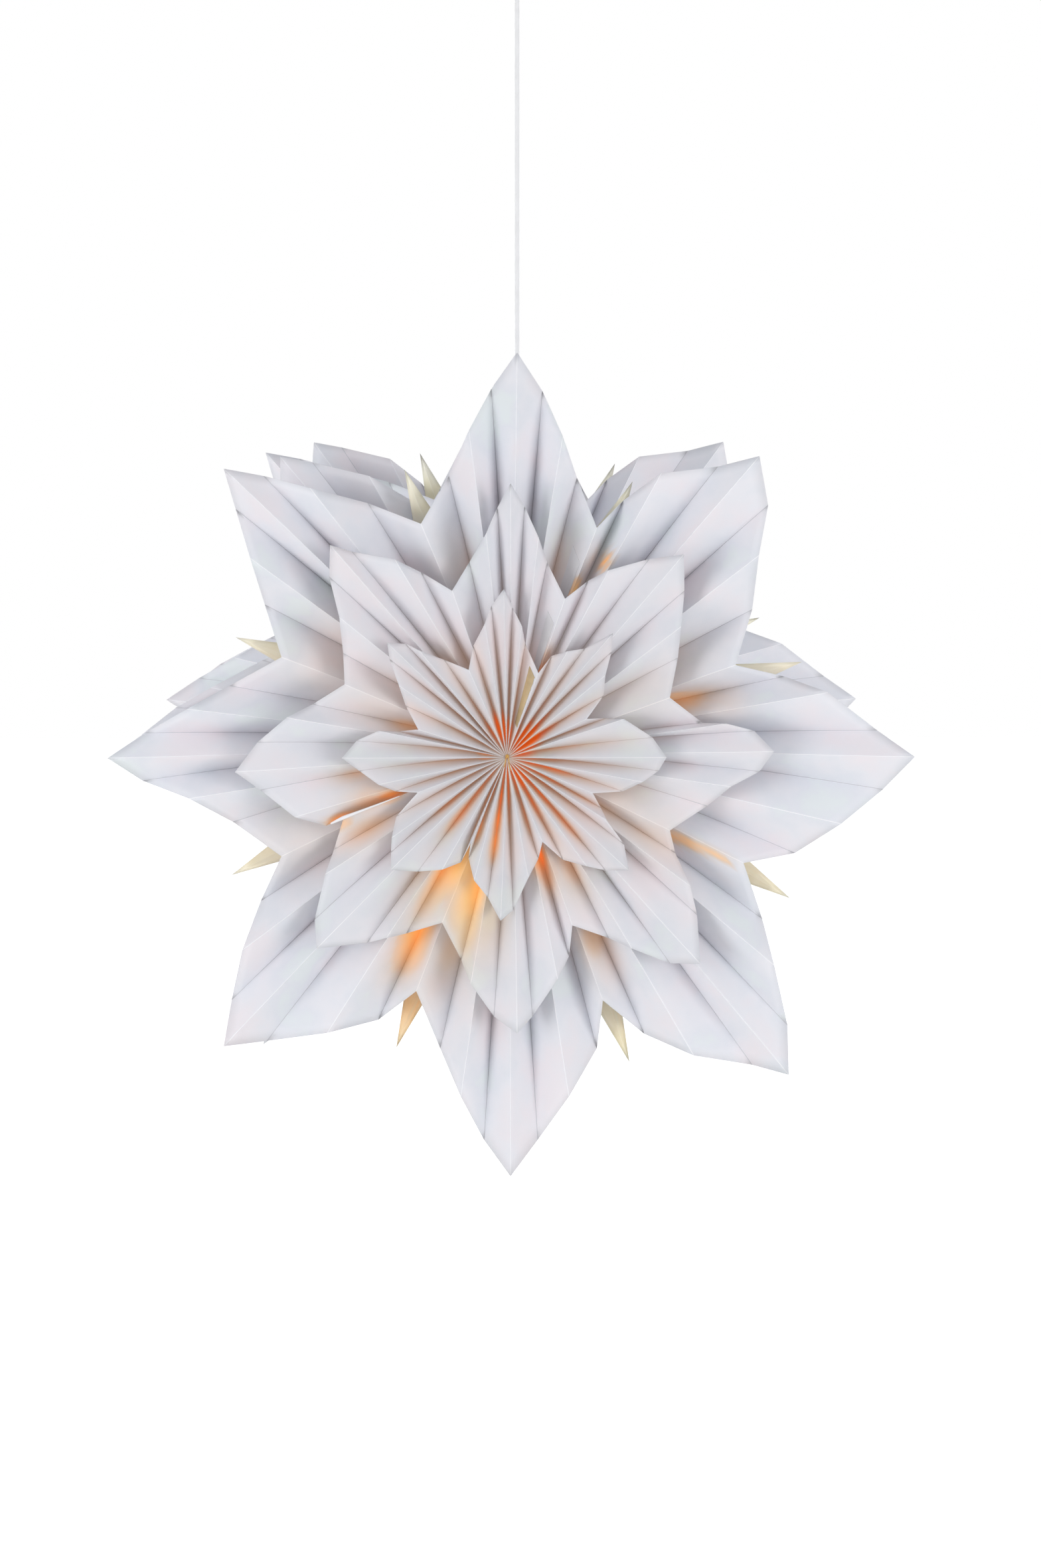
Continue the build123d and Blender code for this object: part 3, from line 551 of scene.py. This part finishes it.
# Warm places in the photograph, where the lamp's light is painted into the paper: pixel, radius in pixels,
# amount, and heat from red-orange to pale yellow.
WARM = {
    "front_small_star": (
        (757, 1100, 17, 1.5, 0.05), (745, 1108, 18, 0.8, 0.1), (764, 1062, 20, 0.3, 0.2),
        (792, 1116, 19, 2.0, 0.0), (812, 1101, 22, 0.9, 0.05), (792, 1150, 20, 1.2, 0.1),
        (820, 1161, 28, 0.9, 0.2), (783, 1166, 18, 1.5, 0.0), (806, 1196, 30, 0.9, 0.2),
        (734, 1138, 12, 1.0, 0.4), (768, 1166, 16, 1.2, 0.05),
        (770, 1182, 24, 0.9, 0.15), (757, 1199, 22, 0.9, 0.25), (748, 1235, 22, 0.9, 0.4),
        (742, 1168, 22, 0.6, 0.25), (724, 1196, 28, 0.6, 0.35), (790, 1225, 28, 0.5, 0.3),
        (840, 1230, 34, 0.6, 0.3), (690, 1220, 28, 0.7, 0.3), (868, 1190, 32, 0.4, 0.4),
        (744, 1268, 20, 0.8, 0.5), (731, 1253, 18, 0.75, 0.5), (736, 1138, 14, 0.6, 0.4),
        (712, 1140, 20, 0.25, 0.5), (720, 1100, 26, 0.2, 0.4), (640, 1150, 40, 0.12, 0.5),
    ),
    "front_medium_star": (
        (708, 1338, 40, 0.85, 0.8), (697, 1298, 34, 1.1, 0.6), (674, 1313, 32, 0.75, 0.5),
        (716, 1385, 46, 0.45, 0.95), (655, 1335, 44, 0.42, 0.7), (812, 1290, 18, 1.0, 0.3),
        (824, 1308, 26, 0.5, 0.45), (856, 1304, 34, 0.35, 0.4), (588, 1194, 14, 1.0, 0.4),
        (558, 1200, 26, 0.5, 0.4), (535, 1164, 24, 0.3, 0.45), (512, 1238, 14, 0.8, 0.5),
        (552, 1244, 34, 0.34, 0.5), (813, 1006, 10, 1.0, 0.1), (822, 984, 10, 0.5, 0.3),
        (921, 1203, 44, 0.3, 0.5), (975, 1248, 44, 0.24, 0.5), (960, 1052, 44, 0.16, 0.4),
        (619, 1095, 26, 0.36, 0.5), (590, 1064, 44, 0.22, 0.5), (684, 998, 22, 0.3, 0.4),
        (690, 1250, 30, 0.4, 0.4),
    ),
    "front_spike_star": (
        (622, 1512, 30, 0.9, 0.5), (606, 1550, 26, 0.5, 0.6), (930, 1530, 26, 0.3, 0.8),
        (1140, 1318, 30, 0.25, 0.9), (1180, 1000, 30, 0.2, 0.9), (400, 1290, 34, 0.25, 0.8),
        (400, 985, 30, 0.2, 0.9), (618, 760, 26, 0.1, 0.9),
    ),
    "front_large_star": (
        (628, 1400, 26, 1.0, 0.6), (622, 1424, 30, 0.7, 0.65), (676, 1428, 36, 0.36, 0.7),
        (648, 1462, 40, 0.22, 0.6), (604, 1440, 30, 0.3, 0.4), (888, 1411, 24, 0.5, 0.5),
        (905, 1440, 30, 0.2, 0.5), (1014, 1047, 11, 0.7, 0.6), (1032, 1054, 26, 0.42, 0.55),
        (1086, 1060, 24, 0.22, 0.6), (865, 880, 8, 1.1, 0.65), (861, 895, 8, 0.9, 0.6),
        (912, 846, 7, 1.1, 0.5), (1016, 1256, 11, 1.0, 0.5), (1036, 1264, 10, 1.0, 0.55),
        (1056, 1272, 9, 0.95, 0.6), (1074, 1280, 8, 0.9, 0.65), (1090, 1287, 7, 0.8, 0.7),
        (534, 958, 44, 0.16, 0.5), (500, 1012, 44, 0.2, 0.5), (690, 862, 34, 0.16, 0.6),
        (846, 850, 34, 0.16, 0.4), (470, 1260, 44, 0.2, 0.6), (440, 1250, 40, 0.14, 0.6),
        (1010, 1010, 40, 0.18, 0.4), (730, 1440, 60, 0.1, 0.5),
    ),
}


SMALL_WARMTH, SMALL_WARM_REACH = 0.5, 0.14  # faint warmth round the hub, painted lamp light: amount and the radius where it ends
OTHER_WARMTH, OTHER_WARM_REACH = 0.12, 0.12
ALONG_FOLD, ACROSS_FOLD = 1.7, 0.95  # how far a spot spreads along its fold and across it, in radii
SPOT_EDGE = 2.6  # in radii, past which a spot is left out


def warmth(node, spot, r, inset):
    """Amount and heat of the lamp's light in the paper."""
    if node.endswith("small_star"):
        near = max(0.0, 1.0 - r / SMALL_WARM_REACH)
        amount, heat, deep = SMALL_WARMTH * near * inset**1.5, 0.3, inset**1.4
    else:
        near = max(0.0, 1.0 - r / OTHER_WARM_REACH)
        amount, heat, deep = OTHER_WARMTH * near * inset, 0.5, 0.6 + 0.4 * inset
    weight = 1e-4 + amount
    total = heat * weight
    for px, py, radius, level, hue in WARM_SPOTS.get(node, ()):
        out = hypot(px - STAR_X, py - STAR_Z)
        along = ((spot.x - px) * (px - STAR_X) + (spot.z - py) * (py - STAR_Z)) / out
        beside = sqrt(max(0.0, (spot.x - px) ** 2 + (spot.z - py) ** 2 - along**2))
        gap = hypot(along / (ALONG_FOLD * radius), beside / (ACROSS_FOLD * radius))
        if gap < SPOT_EDGE:
            part = level * exp(-gap * gap)
            part *= deep ** (1.0 / max(1.0, level))
            amount = max(amount, part)
            total += hue * part
            weight += part
    return min(1.0, amount), total / weight


WARM_SPOTS = {}
for warm_node, places in WARM.items():
    warm_sheet = SHEETS.get(warm_node) or FRONT_SPIKES
    WARM_SPOTS[warm_node] = []
    for px, py, radius, level, hue in places:
        angle, r = warm_sheet.landed(px, py, 0)
        here = (STAR_X + r * sin(radians(angle)), STAR_Z + r * cos(radians(angle)))
        scale = abs(warm_sheet.y(r, 0) - EYE.y) / FOCAL_PX
        WARM_SPOTS[warm_node].append((here[0], here[1], radius * scale, level, hue))
for size in ("small", "medium"):  # the rear unit glows in the same way, seen from behind
    WARM_SPOTS[f"rear_{size}_star"] = WARM_SPOTS[f"front_{size}_star"]


SHARP_FOLD = radians(24.0)  # a fold steeper than this is shaded as an edge


def grid_mesh(name, columns, attributes, material, node):
    """A closed ring of columns of points as a thin sheet, with named values at each point."""
    rows = len(columns[0])
    count = len(columns)
    vertices = [p for column in columns for p in column]
    faces = []
    for i in range(count):
        j = (i + 1) % count
        for k in range(rows - 1):
            faces.append((i * rows + k, j * rows + k, j * rows + k + 1, i * rows + k + 1))
    mesh = bpy.data.meshes.new(name)
    mesh.from_pydata(vertices, [], faces)
    for key, values in attributes.items():
        layer = mesh.attributes.new(key, "FLOAT", "POINT")
        layer.data.foreach_set("value", [v for column in values for v in column])
    mesh.materials.append(material)
    mesh.update()
    mesh.shade_smooth()
    mesh.set_sharp_from_angle(angle=SHARP_FOLD)
    o = bpy.data.objects.new(name, mesh)
    scene.collection.objects.link(o)
    solid = o.modifiers.new("thickness", "SOLIDIFY")
    solid.thickness = PAPER
    solid.offset = 0.0
    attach(o, "star")
    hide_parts(node)


ROUNDNESS = {"small": 0.95, "medium": 0.9, "large": 0.75, "inner": 0.6}
WANDER = 0.45  # degrees that a crease strays from a straight line


def turned_near(angle, other):
    """An angle within half a turn of another."""
    while angle < other - 180.0:
        angle += 360.0
    while angle > other + 180.0:
        angle -= 360.0
    return angle


def panel_point(sheet, rim, i, u, t, roundness):
    """A point of panel i: u goes from its crease to the next, t from the hub to the rim."""
    j = (i + 1) % len(rim)
    fold_i = 1 if i % 2 == 0 else -1
    (angle_i, end_i), (angle_j, end_j) = rim[i], rim[j]
    angle_j = turned_near(angle_j, angle_i)
    stray = sin(pi * t) * WANDER
    angle_i += stray * noise.noise(Vector((i * 1.7, sheet.place * 90.0, 0.3)))
    angle_j += stray * noise.noise(Vector((j * 1.7, sheet.place * 90.0, 0.3)))
    r_i = sheet.bore + (end_i - sheet.bore) * t
    r_j = sheet.bore + (end_j - sheet.bore) * t
    a, b = radians(angle_i), radians(angle_j)
    x = r_i * sin(a) * (1 - u) + r_j * sin(b) * u
    z = r_i * cos(a) * (1 - u) + r_j * cos(b) * u
    y_i, y_j = sheet.y(r_i, fold_i), sheet.y(r_j, -fold_i)
    crest_y, valley_y = (y_i, y_j) if fold_i > 0 else (y_j, y_i)
    off_crest = u if fold_i > 0 else 1 - u
    soft = roundness * (1 - t**3)
    rise = (1 - soft) * (1 - off_crest) + soft * cos(off_crest * pi / 2)
    x += STAR_X + sheet.hub[0] * (1 - t)
    z += STAR_Z + sheet.hub[1] * (1 - t)
    return Vector((x, valley_y + (crest_y - valley_y) * rise, z)), off_crest


# Painted shade: how much darker the paper is painted in its valleys, in upright arms and in arms to the
# side, toward the hub, and evenly over a whole star.
VALLEY_UPRIGHT, VALLEY_SIDE = 0.12, 0.0
HUB_SHADE = {"small": 0.35, "medium": 0.15, "large": 0.0, "inner": 0.0, "spike": 0.0}
EVEN_SHADE = {"small": 0.28, "medium": 0.12, "large": 0.0, "inner": 0.0, "spike": 0.0}


NEAR_THROUGH, NEAR_REACH = 0.75, 0.24  # light through the paper round the hub, and the radius where it ends
CORE_THROUGH, CORE_REACH = 1.1, 0.030  # the same in the very middle


def through_of(r, off_crest):
    """How much of the lamp's light comes through the paper at a radius."""
    near = max(0.0, 1.0 - r / NEAR_REACH)
    core = max(0.0, 1.0 - r / CORE_REACH)
    return NEAR_THROUGH * near * off_crest + CORE_THROUGH * core * (1.0 - 0.5 * off_crest)


def shade_of(size, angle, off_crest, t):
    """Share of the fold's painted shade at a point, from 0 to 1."""
    upright = cos(angle) ** 2
    valley = VALLEY_SIDE + (VALLEY_UPRIGHT - VALLEY_SIDE) * upright
    toward_hub = EVEN_SHADE[size] + HUB_SHADE[size] * (1.0 - t)
    return min(1.0, valley * off_crest**1.4 * (1.0 - 0.5 * t**3) + toward_hub)


CLOSER_AT_HUB = 1.1  # power that sets the rows of points closer together near the hub


def folded_star(node, sheet, rim, material, across=7, along=26, roundness=0.8):
    """The folded paper star: soft crests and sharp valleys that run straight from the hub to the rim."""
    columns, values = [], {key: [] for key in POINT_VALUES}
    size = node.split("_")[1]
    for i in range(len(rim)):
        for step in range(across):
            u = step / across
            column, own = [], {key: [] for key in POINT_VALUES}
            for k in range(along + 1):
                t = (k / along) ** CLOSER_AT_HUB
                spot, off_crest = panel_point(sheet, rim, i, u, t, roundness)
                start, _ = panel_point(sheet, rim, i, 0.0, t, roundness)
                end, _ = panel_point(sheet, rim, i, 1.0, t, roundness)
                width = (end - start).length
                r = hypot(spot.x - STAR_X, spot.z - STAR_Z)
                angle = atan2(spot.x - STAR_X, spot.z - STAR_Z)
                amount, hue = warmth(node, spot, r, off_crest)
                column.append(spot)
                own["crest"].append(off_crest * width)
                own["valley"].append((1 - off_crest) * width)
                own["glow"].append(amount)
                own["warm_hue"].append(hue)
                own["shade"].append(shade_of(size, angle, off_crest, t))
                own["through"].append(through_of(r, off_crest))
            columns.append(column)
            for key in POINT_VALUES:
                values[key].append(own[key])
    grid_mesh(f"{node}_paper", columns, values, material, node)


for star_name, star_sheet in SHEETS.items():
    soft = ROUNDNESS[star_name.split("_")[1]]
    folded_star(star_name, star_sheet, RIMS[star_name], white_paper, roundness=soft)

# The medium star's sheet ends on a crest between its left and lower left points, with its edge rolled up.
ROLLED_CREASE, ROLL_RADIUS, ROLL_LIFT = 44, 0.0011, 0.0008
rolled_line = bpy.data.curves.new("rolled_edge", "CURVE")
rolled_line.dimensions = "3D"
rolled_line.bevel_depth = ROLL_RADIUS
rolled_line.bevel_resolution = 3
rolled_line.resolution_u = 8
rolled_line.use_fill_caps = True
rolled_spline = rolled_line.splines.new("NURBS")
# Places on the panel, across it and along it from the hub, and how thick the roll is there.
rolled_path = (
    (0.7, 1.0, 0.8),
    (0.3, 1.0, 1.3),
    (0.02, 0.995, 1.6),
    (0.0, 0.93, 1.1),
    (0.0, 0.8, 0.7),
    (0.0, 0.66, 0.4),
)
rolled_spline.points.add(len(rolled_path) - 1)
medium_sheet, medium_rim = SHEETS["front_medium_star"], RIMS["front_medium_star"]
for control, (u, t, thick) in zip(rolled_spline.points, rolled_path):
    spot = panel_point(medium_sheet, medium_rim, ROLLED_CREASE, u, t, ROUNDNESS["medium"])[0]
    control.co = (spot.x, spot.y + medium_sheet.side * ROLL_LIFT, spot.z, 1.0)
    control.radius = thick
rolled_spline.order_u = 3
rolled_spline.use_endpoint_u = True
rolled_line.materials.append(paper_edge)
rolled_edge = bpy.data.objects.new("rolled_edge", rolled_line)
scene.collection.objects.link(rolled_edge)
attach(rolled_edge, "star")
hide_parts("front_medium_star")

# ---------------------------------------------------------------- cream spikes
# Degrees from a point's middle and radius of its shoulders and of its roots, and the notches' radius.
SHOULDER_HALF, SHOULDER_REACH = 6.5, 0.190
ROOT_HALF, ROOT_REACH = 14.5, 0.110
NOTCH_REACH = 0.095
SPIKE_POINTS = (
    (953, 725), (1208, 997), (1190, 1353), (948, 1600),
    (597, 1578), (349, 1318), (355, 960), (609, 707),
)


def spike_rim(sheet, pixels):
    """Ends of the cream star's creases, its points where the photograph shows them."""
    tips = [sheet.landed(px, py, 1) for px, py in pixels]
    rim = []
    for k in range(8):
        angle, r = tips[k]
        after, r_after = tips[(k + 1) % 8]
        after = turned_near(after, angle)
        rim.append((angle, r))
        rim.append((angle + SHOULDER_HALF, SHOULDER_REACH * (r / SPIKE_REACH)))
        rim.append((angle + ROOT_HALF, ROOT_REACH))
        rim.append(((angle + after) / 2, NOTCH_REACH))
        rim.append((after - ROOT_HALF, ROOT_REACH))
        rim.append((after - SHOULDER_HALF, SHOULDER_REACH * (r_after / SPIKE_REACH)))
    return rim


for spike_node, spike_sheet, spike_pixels in (
    ("front_spike_star", FRONT_SPIKES, SPIKE_POINTS),
    ("rear_spike_star", REAR_SPIKES, [rear_pixel(*p) for p in SPIKE_POINTS]),
):
    folded_star(
        spike_node, spike_sheet, spike_rim(spike_sheet, spike_pixels), cream_paper, 4, 18, 0.0
    )

# ---------------------------------------------------------------- closing tapes
TAPE_PANEL = 3  # the last fold before the notch between the two upper points
# From where to where a tape runs along its fold, as shares of it.
TAPE_SPAN = {"small": (0.33, 0.92), "medium": (0.3, 0.82), "large": (0.3, 0.82), "inner": (0.3, 0.82)}
TAPE_FIRST, TAPE_WIDTH, TAPE_RAGGED = 0.5, 0.42, 0.02  # across the fold, as shares of its width
TAPE_LIFT, TAPE_THICKNESS = 0.00045, 0.0002


def tape_strip(unit):
    """The strips that close each star of a unit, laid on the fold: browned by the lamp on the small star."""
    vertices, faces, finishes = [], [], []
    for number, size in enumerate(("small", "medium", "large", "inner")):
        sheet, rim = SHEETS[f"{unit}_{size}_star"], RIMS[f"{unit}_{size}_star"]
        low, high = TAPE_SPAN[size]
        first = len(vertices)
        across, along = 4, 24
        for k in range(along + 1):
            t = low + (high - low) * k / along
            ragged = TAPE_RAGGED * noise.noise(Vector((k * 0.8, number * 3.1, 0.0)))
            left = panel_point(sheet, rim, TAPE_PANEL, 0.3, t, ROUNDNESS[size])[0]
            right = panel_point(sheet, rim, TAPE_PANEL, 0.7, t, ROUNDNESS[size])[0]
            ahead = panel_point(sheet, rim, TAPE_PANEL, 0.3, t + 0.01, ROUNDNESS[size])[0]
            lift = (right - left).cross(ahead - left).normalized()
            lift *= TAPE_LIFT if lift.y * sheet.side > 0 else -TAPE_LIFT
            for m in range(across + 1):
                u = TAPE_FIRST + ragged + (TAPE_WIDTH + ragged) * m / across
                spot = panel_point(sheet, rim, TAPE_PANEL, u, t, ROUNDNESS[size])[0]
                vertices.append(spot + lift)
        for k in range(along):
            for m in range(across):
                a = first + k * (across + 1) + m
                faces.append((a, a + 1, a + across + 2, a + across + 1))
                finishes.append(0 if size == "small" else 1)
    mesh = bpy.data.meshes.new(f"{unit}_tapes")
    mesh.from_pydata(vertices, [], faces)
    mesh.materials.append(tape_finish)
    mesh.materials.append(clear_tape)
    mesh.polygons.foreach_set("material_index", finishes)
    mesh.update()
    o = bpy.data.objects.new(f"{unit}_tapes", mesh)
    scene.collection.objects.link(o)
    solid = o.modifiers.new("thickness", "SOLIDIFY")
    solid.thickness = TAPE_THICKNESS
    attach(o, "star")
    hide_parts(f"{unit}_closing_tapes")


for tape_unit in ("front", "rear"):
    tape_strip(tape_unit)

# ---------------------------------------------------------------- thread ties
THREAD_RADIUS = 0.00045


def thread_tie(unit, top_y, inner_y, knot_x, knot_z):
    """The thread through the hubs, its knot with a few loops and two cut ends, and the knot inside."""
    line = bpy.data.curves.new(f"{unit}_thread", "CURVE")
    line.dimensions = "3D"
    line.bevel_depth = THREAD_RADIUS
    line.bevel_resolution = 3
    line.resolution_u = 8
    side = 1 if top_y > 0 else -1

    def strand(points, closed=False):
        spline = line.splines.new("NURBS")
        spline.points.add(len(points) - 1)
        for control, point in zip(spline.points, points):
            control.co = (*point, 1.0)
        spline.order_u = 4
        spline.use_endpoint_u = not closed
        spline.use_cyclic_u = closed

    strand([
        (knot_x, top_y, knot_z),
        (knot_x * 0.5, (top_y + inner_y) / 2, knot_z * 0.5 + STAR_Z * 0.5),
        (0.0, inner_y, STAR_Z),
    ])
    for loop in range(5):
        turn, size = loop * 1.3, 0.0016 - 0.00015 * loop
        ring = []
        for k in range(6):
            a = k * pi / 3
            ring.append((
                knot_x + size * cos(a) * cos(turn),
                top_y + side * (0.0004 * loop + size * 0.45 * sin(a * 2 + turn)),
                knot_z + size * sin(a) + size * 0.4 * cos(a) * sin(turn),
            ))
        strand(ring, True)
    for way, reach in ((-1, 0.010), (1, 0.013)):
        strand([
            (knot_x, top_y, knot_z),
            (knot_x + way * 0.002, top_y + side * 0.0022, knot_z - 0.002),
            (knot_x + way * 0.0015, top_y + side * 0.0012, knot_z - reach * 0.6),
            (knot_x + way * 0.003, top_y + side * 0.0016, knot_z - reach),
        ])
    inner = []
    for k in range(10):
        a = k * pi * 0.55
        inner.append((0.0015 * cos(a), inner_y + side * 0.0008 * sin(a * 1.7), STAR_Z + 0.0015 * sin(a)))
    strand(inner)
    line.materials.append(thread)
    o = bpy.data.objects.new(f"{unit}_thread", line)
    scene.collection.objects.link(o)
    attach(o, "star")
    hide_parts(f"{unit}_thread_tie")


KNOT_Y, INNER_KNOT_Y = 0.1570, 0.0250
KNOT = seen_at(764, 1139, -0.1566)
thread_tie("front", -KNOT_Y, -INNER_KNOT_Y, KNOT.x, KNOT.z)
thread_tie("rear", KNOT_Y, INNER_KNOT_Y, STAR_X, STAR_Z)

# ---------------------------------------------------------------- light
STUDIO_STRENGTH = 0.58  # of the world's own light, faintly brighter from above
world = bpy.data.worlds.new("studio")
scene.world = world
world.use_nodes = True
sky, sky_links = world.node_tree.nodes, world.node_tree.links
sky.clear()
output = sky.new("ShaderNodeOutputWorld")
toward = sky.new("ShaderNodeTexCoord")
split = sky.new("ShaderNodeSeparateXYZ")
sky_links.new(toward.outputs["Generated"], split.inputs["Vector"])
height = maths(sky, sky_links, "MULTIPLY_ADD", split.outputs["Z"], 0.5, 0.5)
soft = ramp(
    sky,
    sky_links,
    height,
    (0.0, (0.92, 0.92, 0.91, 1.0)),
    (0.5, (1.0, 1.0, 0.99, 1.0)),
    (1.0, (1.22, 1.24, 1.28, 1.0)),
)
studio = sky.new("ShaderNodeBackground")
sky_links.new(soft.outputs["Color"], studio.inputs["Color"])
studio.inputs["Strength"].default_value = STUDIO_STRENGTH
backdrop = sky.new("ShaderNodeBackground")
backdrop.inputs["Color"].default_value = (1.0, 1.0, 1.0, 1.0)
backdrop.inputs["Strength"].default_value = 1.0
blend = sky.new("ShaderNodeMixShader")
sky_links.new(looked_at(sky, sky_links), blend.inputs["Fac"])
sky_links.new(studio.outputs["Background"], blend.inputs[1])
sky_links.new(backdrop.outputs["Background"], blend.inputs[2])
sky_links.new(blend.outputs["Shader"], output.inputs["Surface"])


def area_light(name, place, aim, size, power):
    """A soft square light."""
    data = bpy.data.lights.new(name, "AREA")
    data.shape = "SQUARE"
    data.size = size
    data.energy = power
    lamp = bpy.data.objects.new(name, data)
    lamp.location = place
    lamp.rotation_euler = (Vector(aim) - Vector(place)).to_track_quat("-Z", "Y").to_euler()
    scene.collection.objects.link(lamp)


SOFTBOX_POWER, SOFTBOX_SIZE, SOFTBOX_RISE = 24.0, 1.2, 0.15  # rise above the middle of the star
for box_name, box_x, box_y, share in (
    ("left_softbox", -2.2, -1.9, 1.05),
    ("right_softbox", 2.2, -1.9, 0.95),
    ("rear_left_softbox", -2.2, 1.9, 0.8),
    ("rear_right_softbox", 2.2, 1.9, 0.8),
):
    box_place = (box_x, box_y, STAR_Z + SOFTBOX_RISE)
    area_light(box_name, box_place, (0.0, 0.0, STAR_Z), SOFTBOX_SIZE, SOFTBOX_POWER * share)

lamp_data = bpy.data.lights.new("lamp", "POINT")
lamp_data.energy = 2.4  # watts of light, faint beside the softboxes
lamp_data.color = (1.0, 0.62, 0.26)
lamp_data.shadow_soft_size = 0.024
lamp = bpy.data.objects.new("lamp", lamp_data)
lamp.location = LAMP
scene.collection.objects.link(lamp)

# ---------------------------------------------------------------- floor
FLOOR_Z, FLOOR_HALF = -2.35, 7.0
FLOOR_PALE = 0.55  # how much whiter the camera sees the floor
floor_paint, floor_nodes, floor_links, floor_main = shader("pale_floor", 0.9)
floor_main.inputs["Base Color"].default_value = colour(240, 240, 238)
floor_main.inputs["Specular IOR Level"].default_value = 0.0
floor_main.inputs["Emission Color"].default_value = (1.0, 1.0, 1.0, 1.0)
floor_glow = maths(floor_nodes, floor_links, "MULTIPLY", looked_at(floor_nodes, floor_links), FLOOR_PALE)
floor_links.new(floor_glow, floor_main.inputs["Emission Strength"])
floor_mesh = bpy.data.meshes.new("floor")
floor_mesh.from_pydata(
    [(x * FLOOR_HALF, y * FLOOR_HALF, FLOOR_Z) for x, y in ((-1, -1), (1, -1), (1, 1), (-1, 1))],
    [],
    [(0, 1, 2, 3)],
)
floor_mesh.materials.append(floor_paint)
floor = bpy.data.objects.new("floor", floor_mesh)
scene.collection.objects.link(floor)

scene.view_settings.view_transform = "Standard"
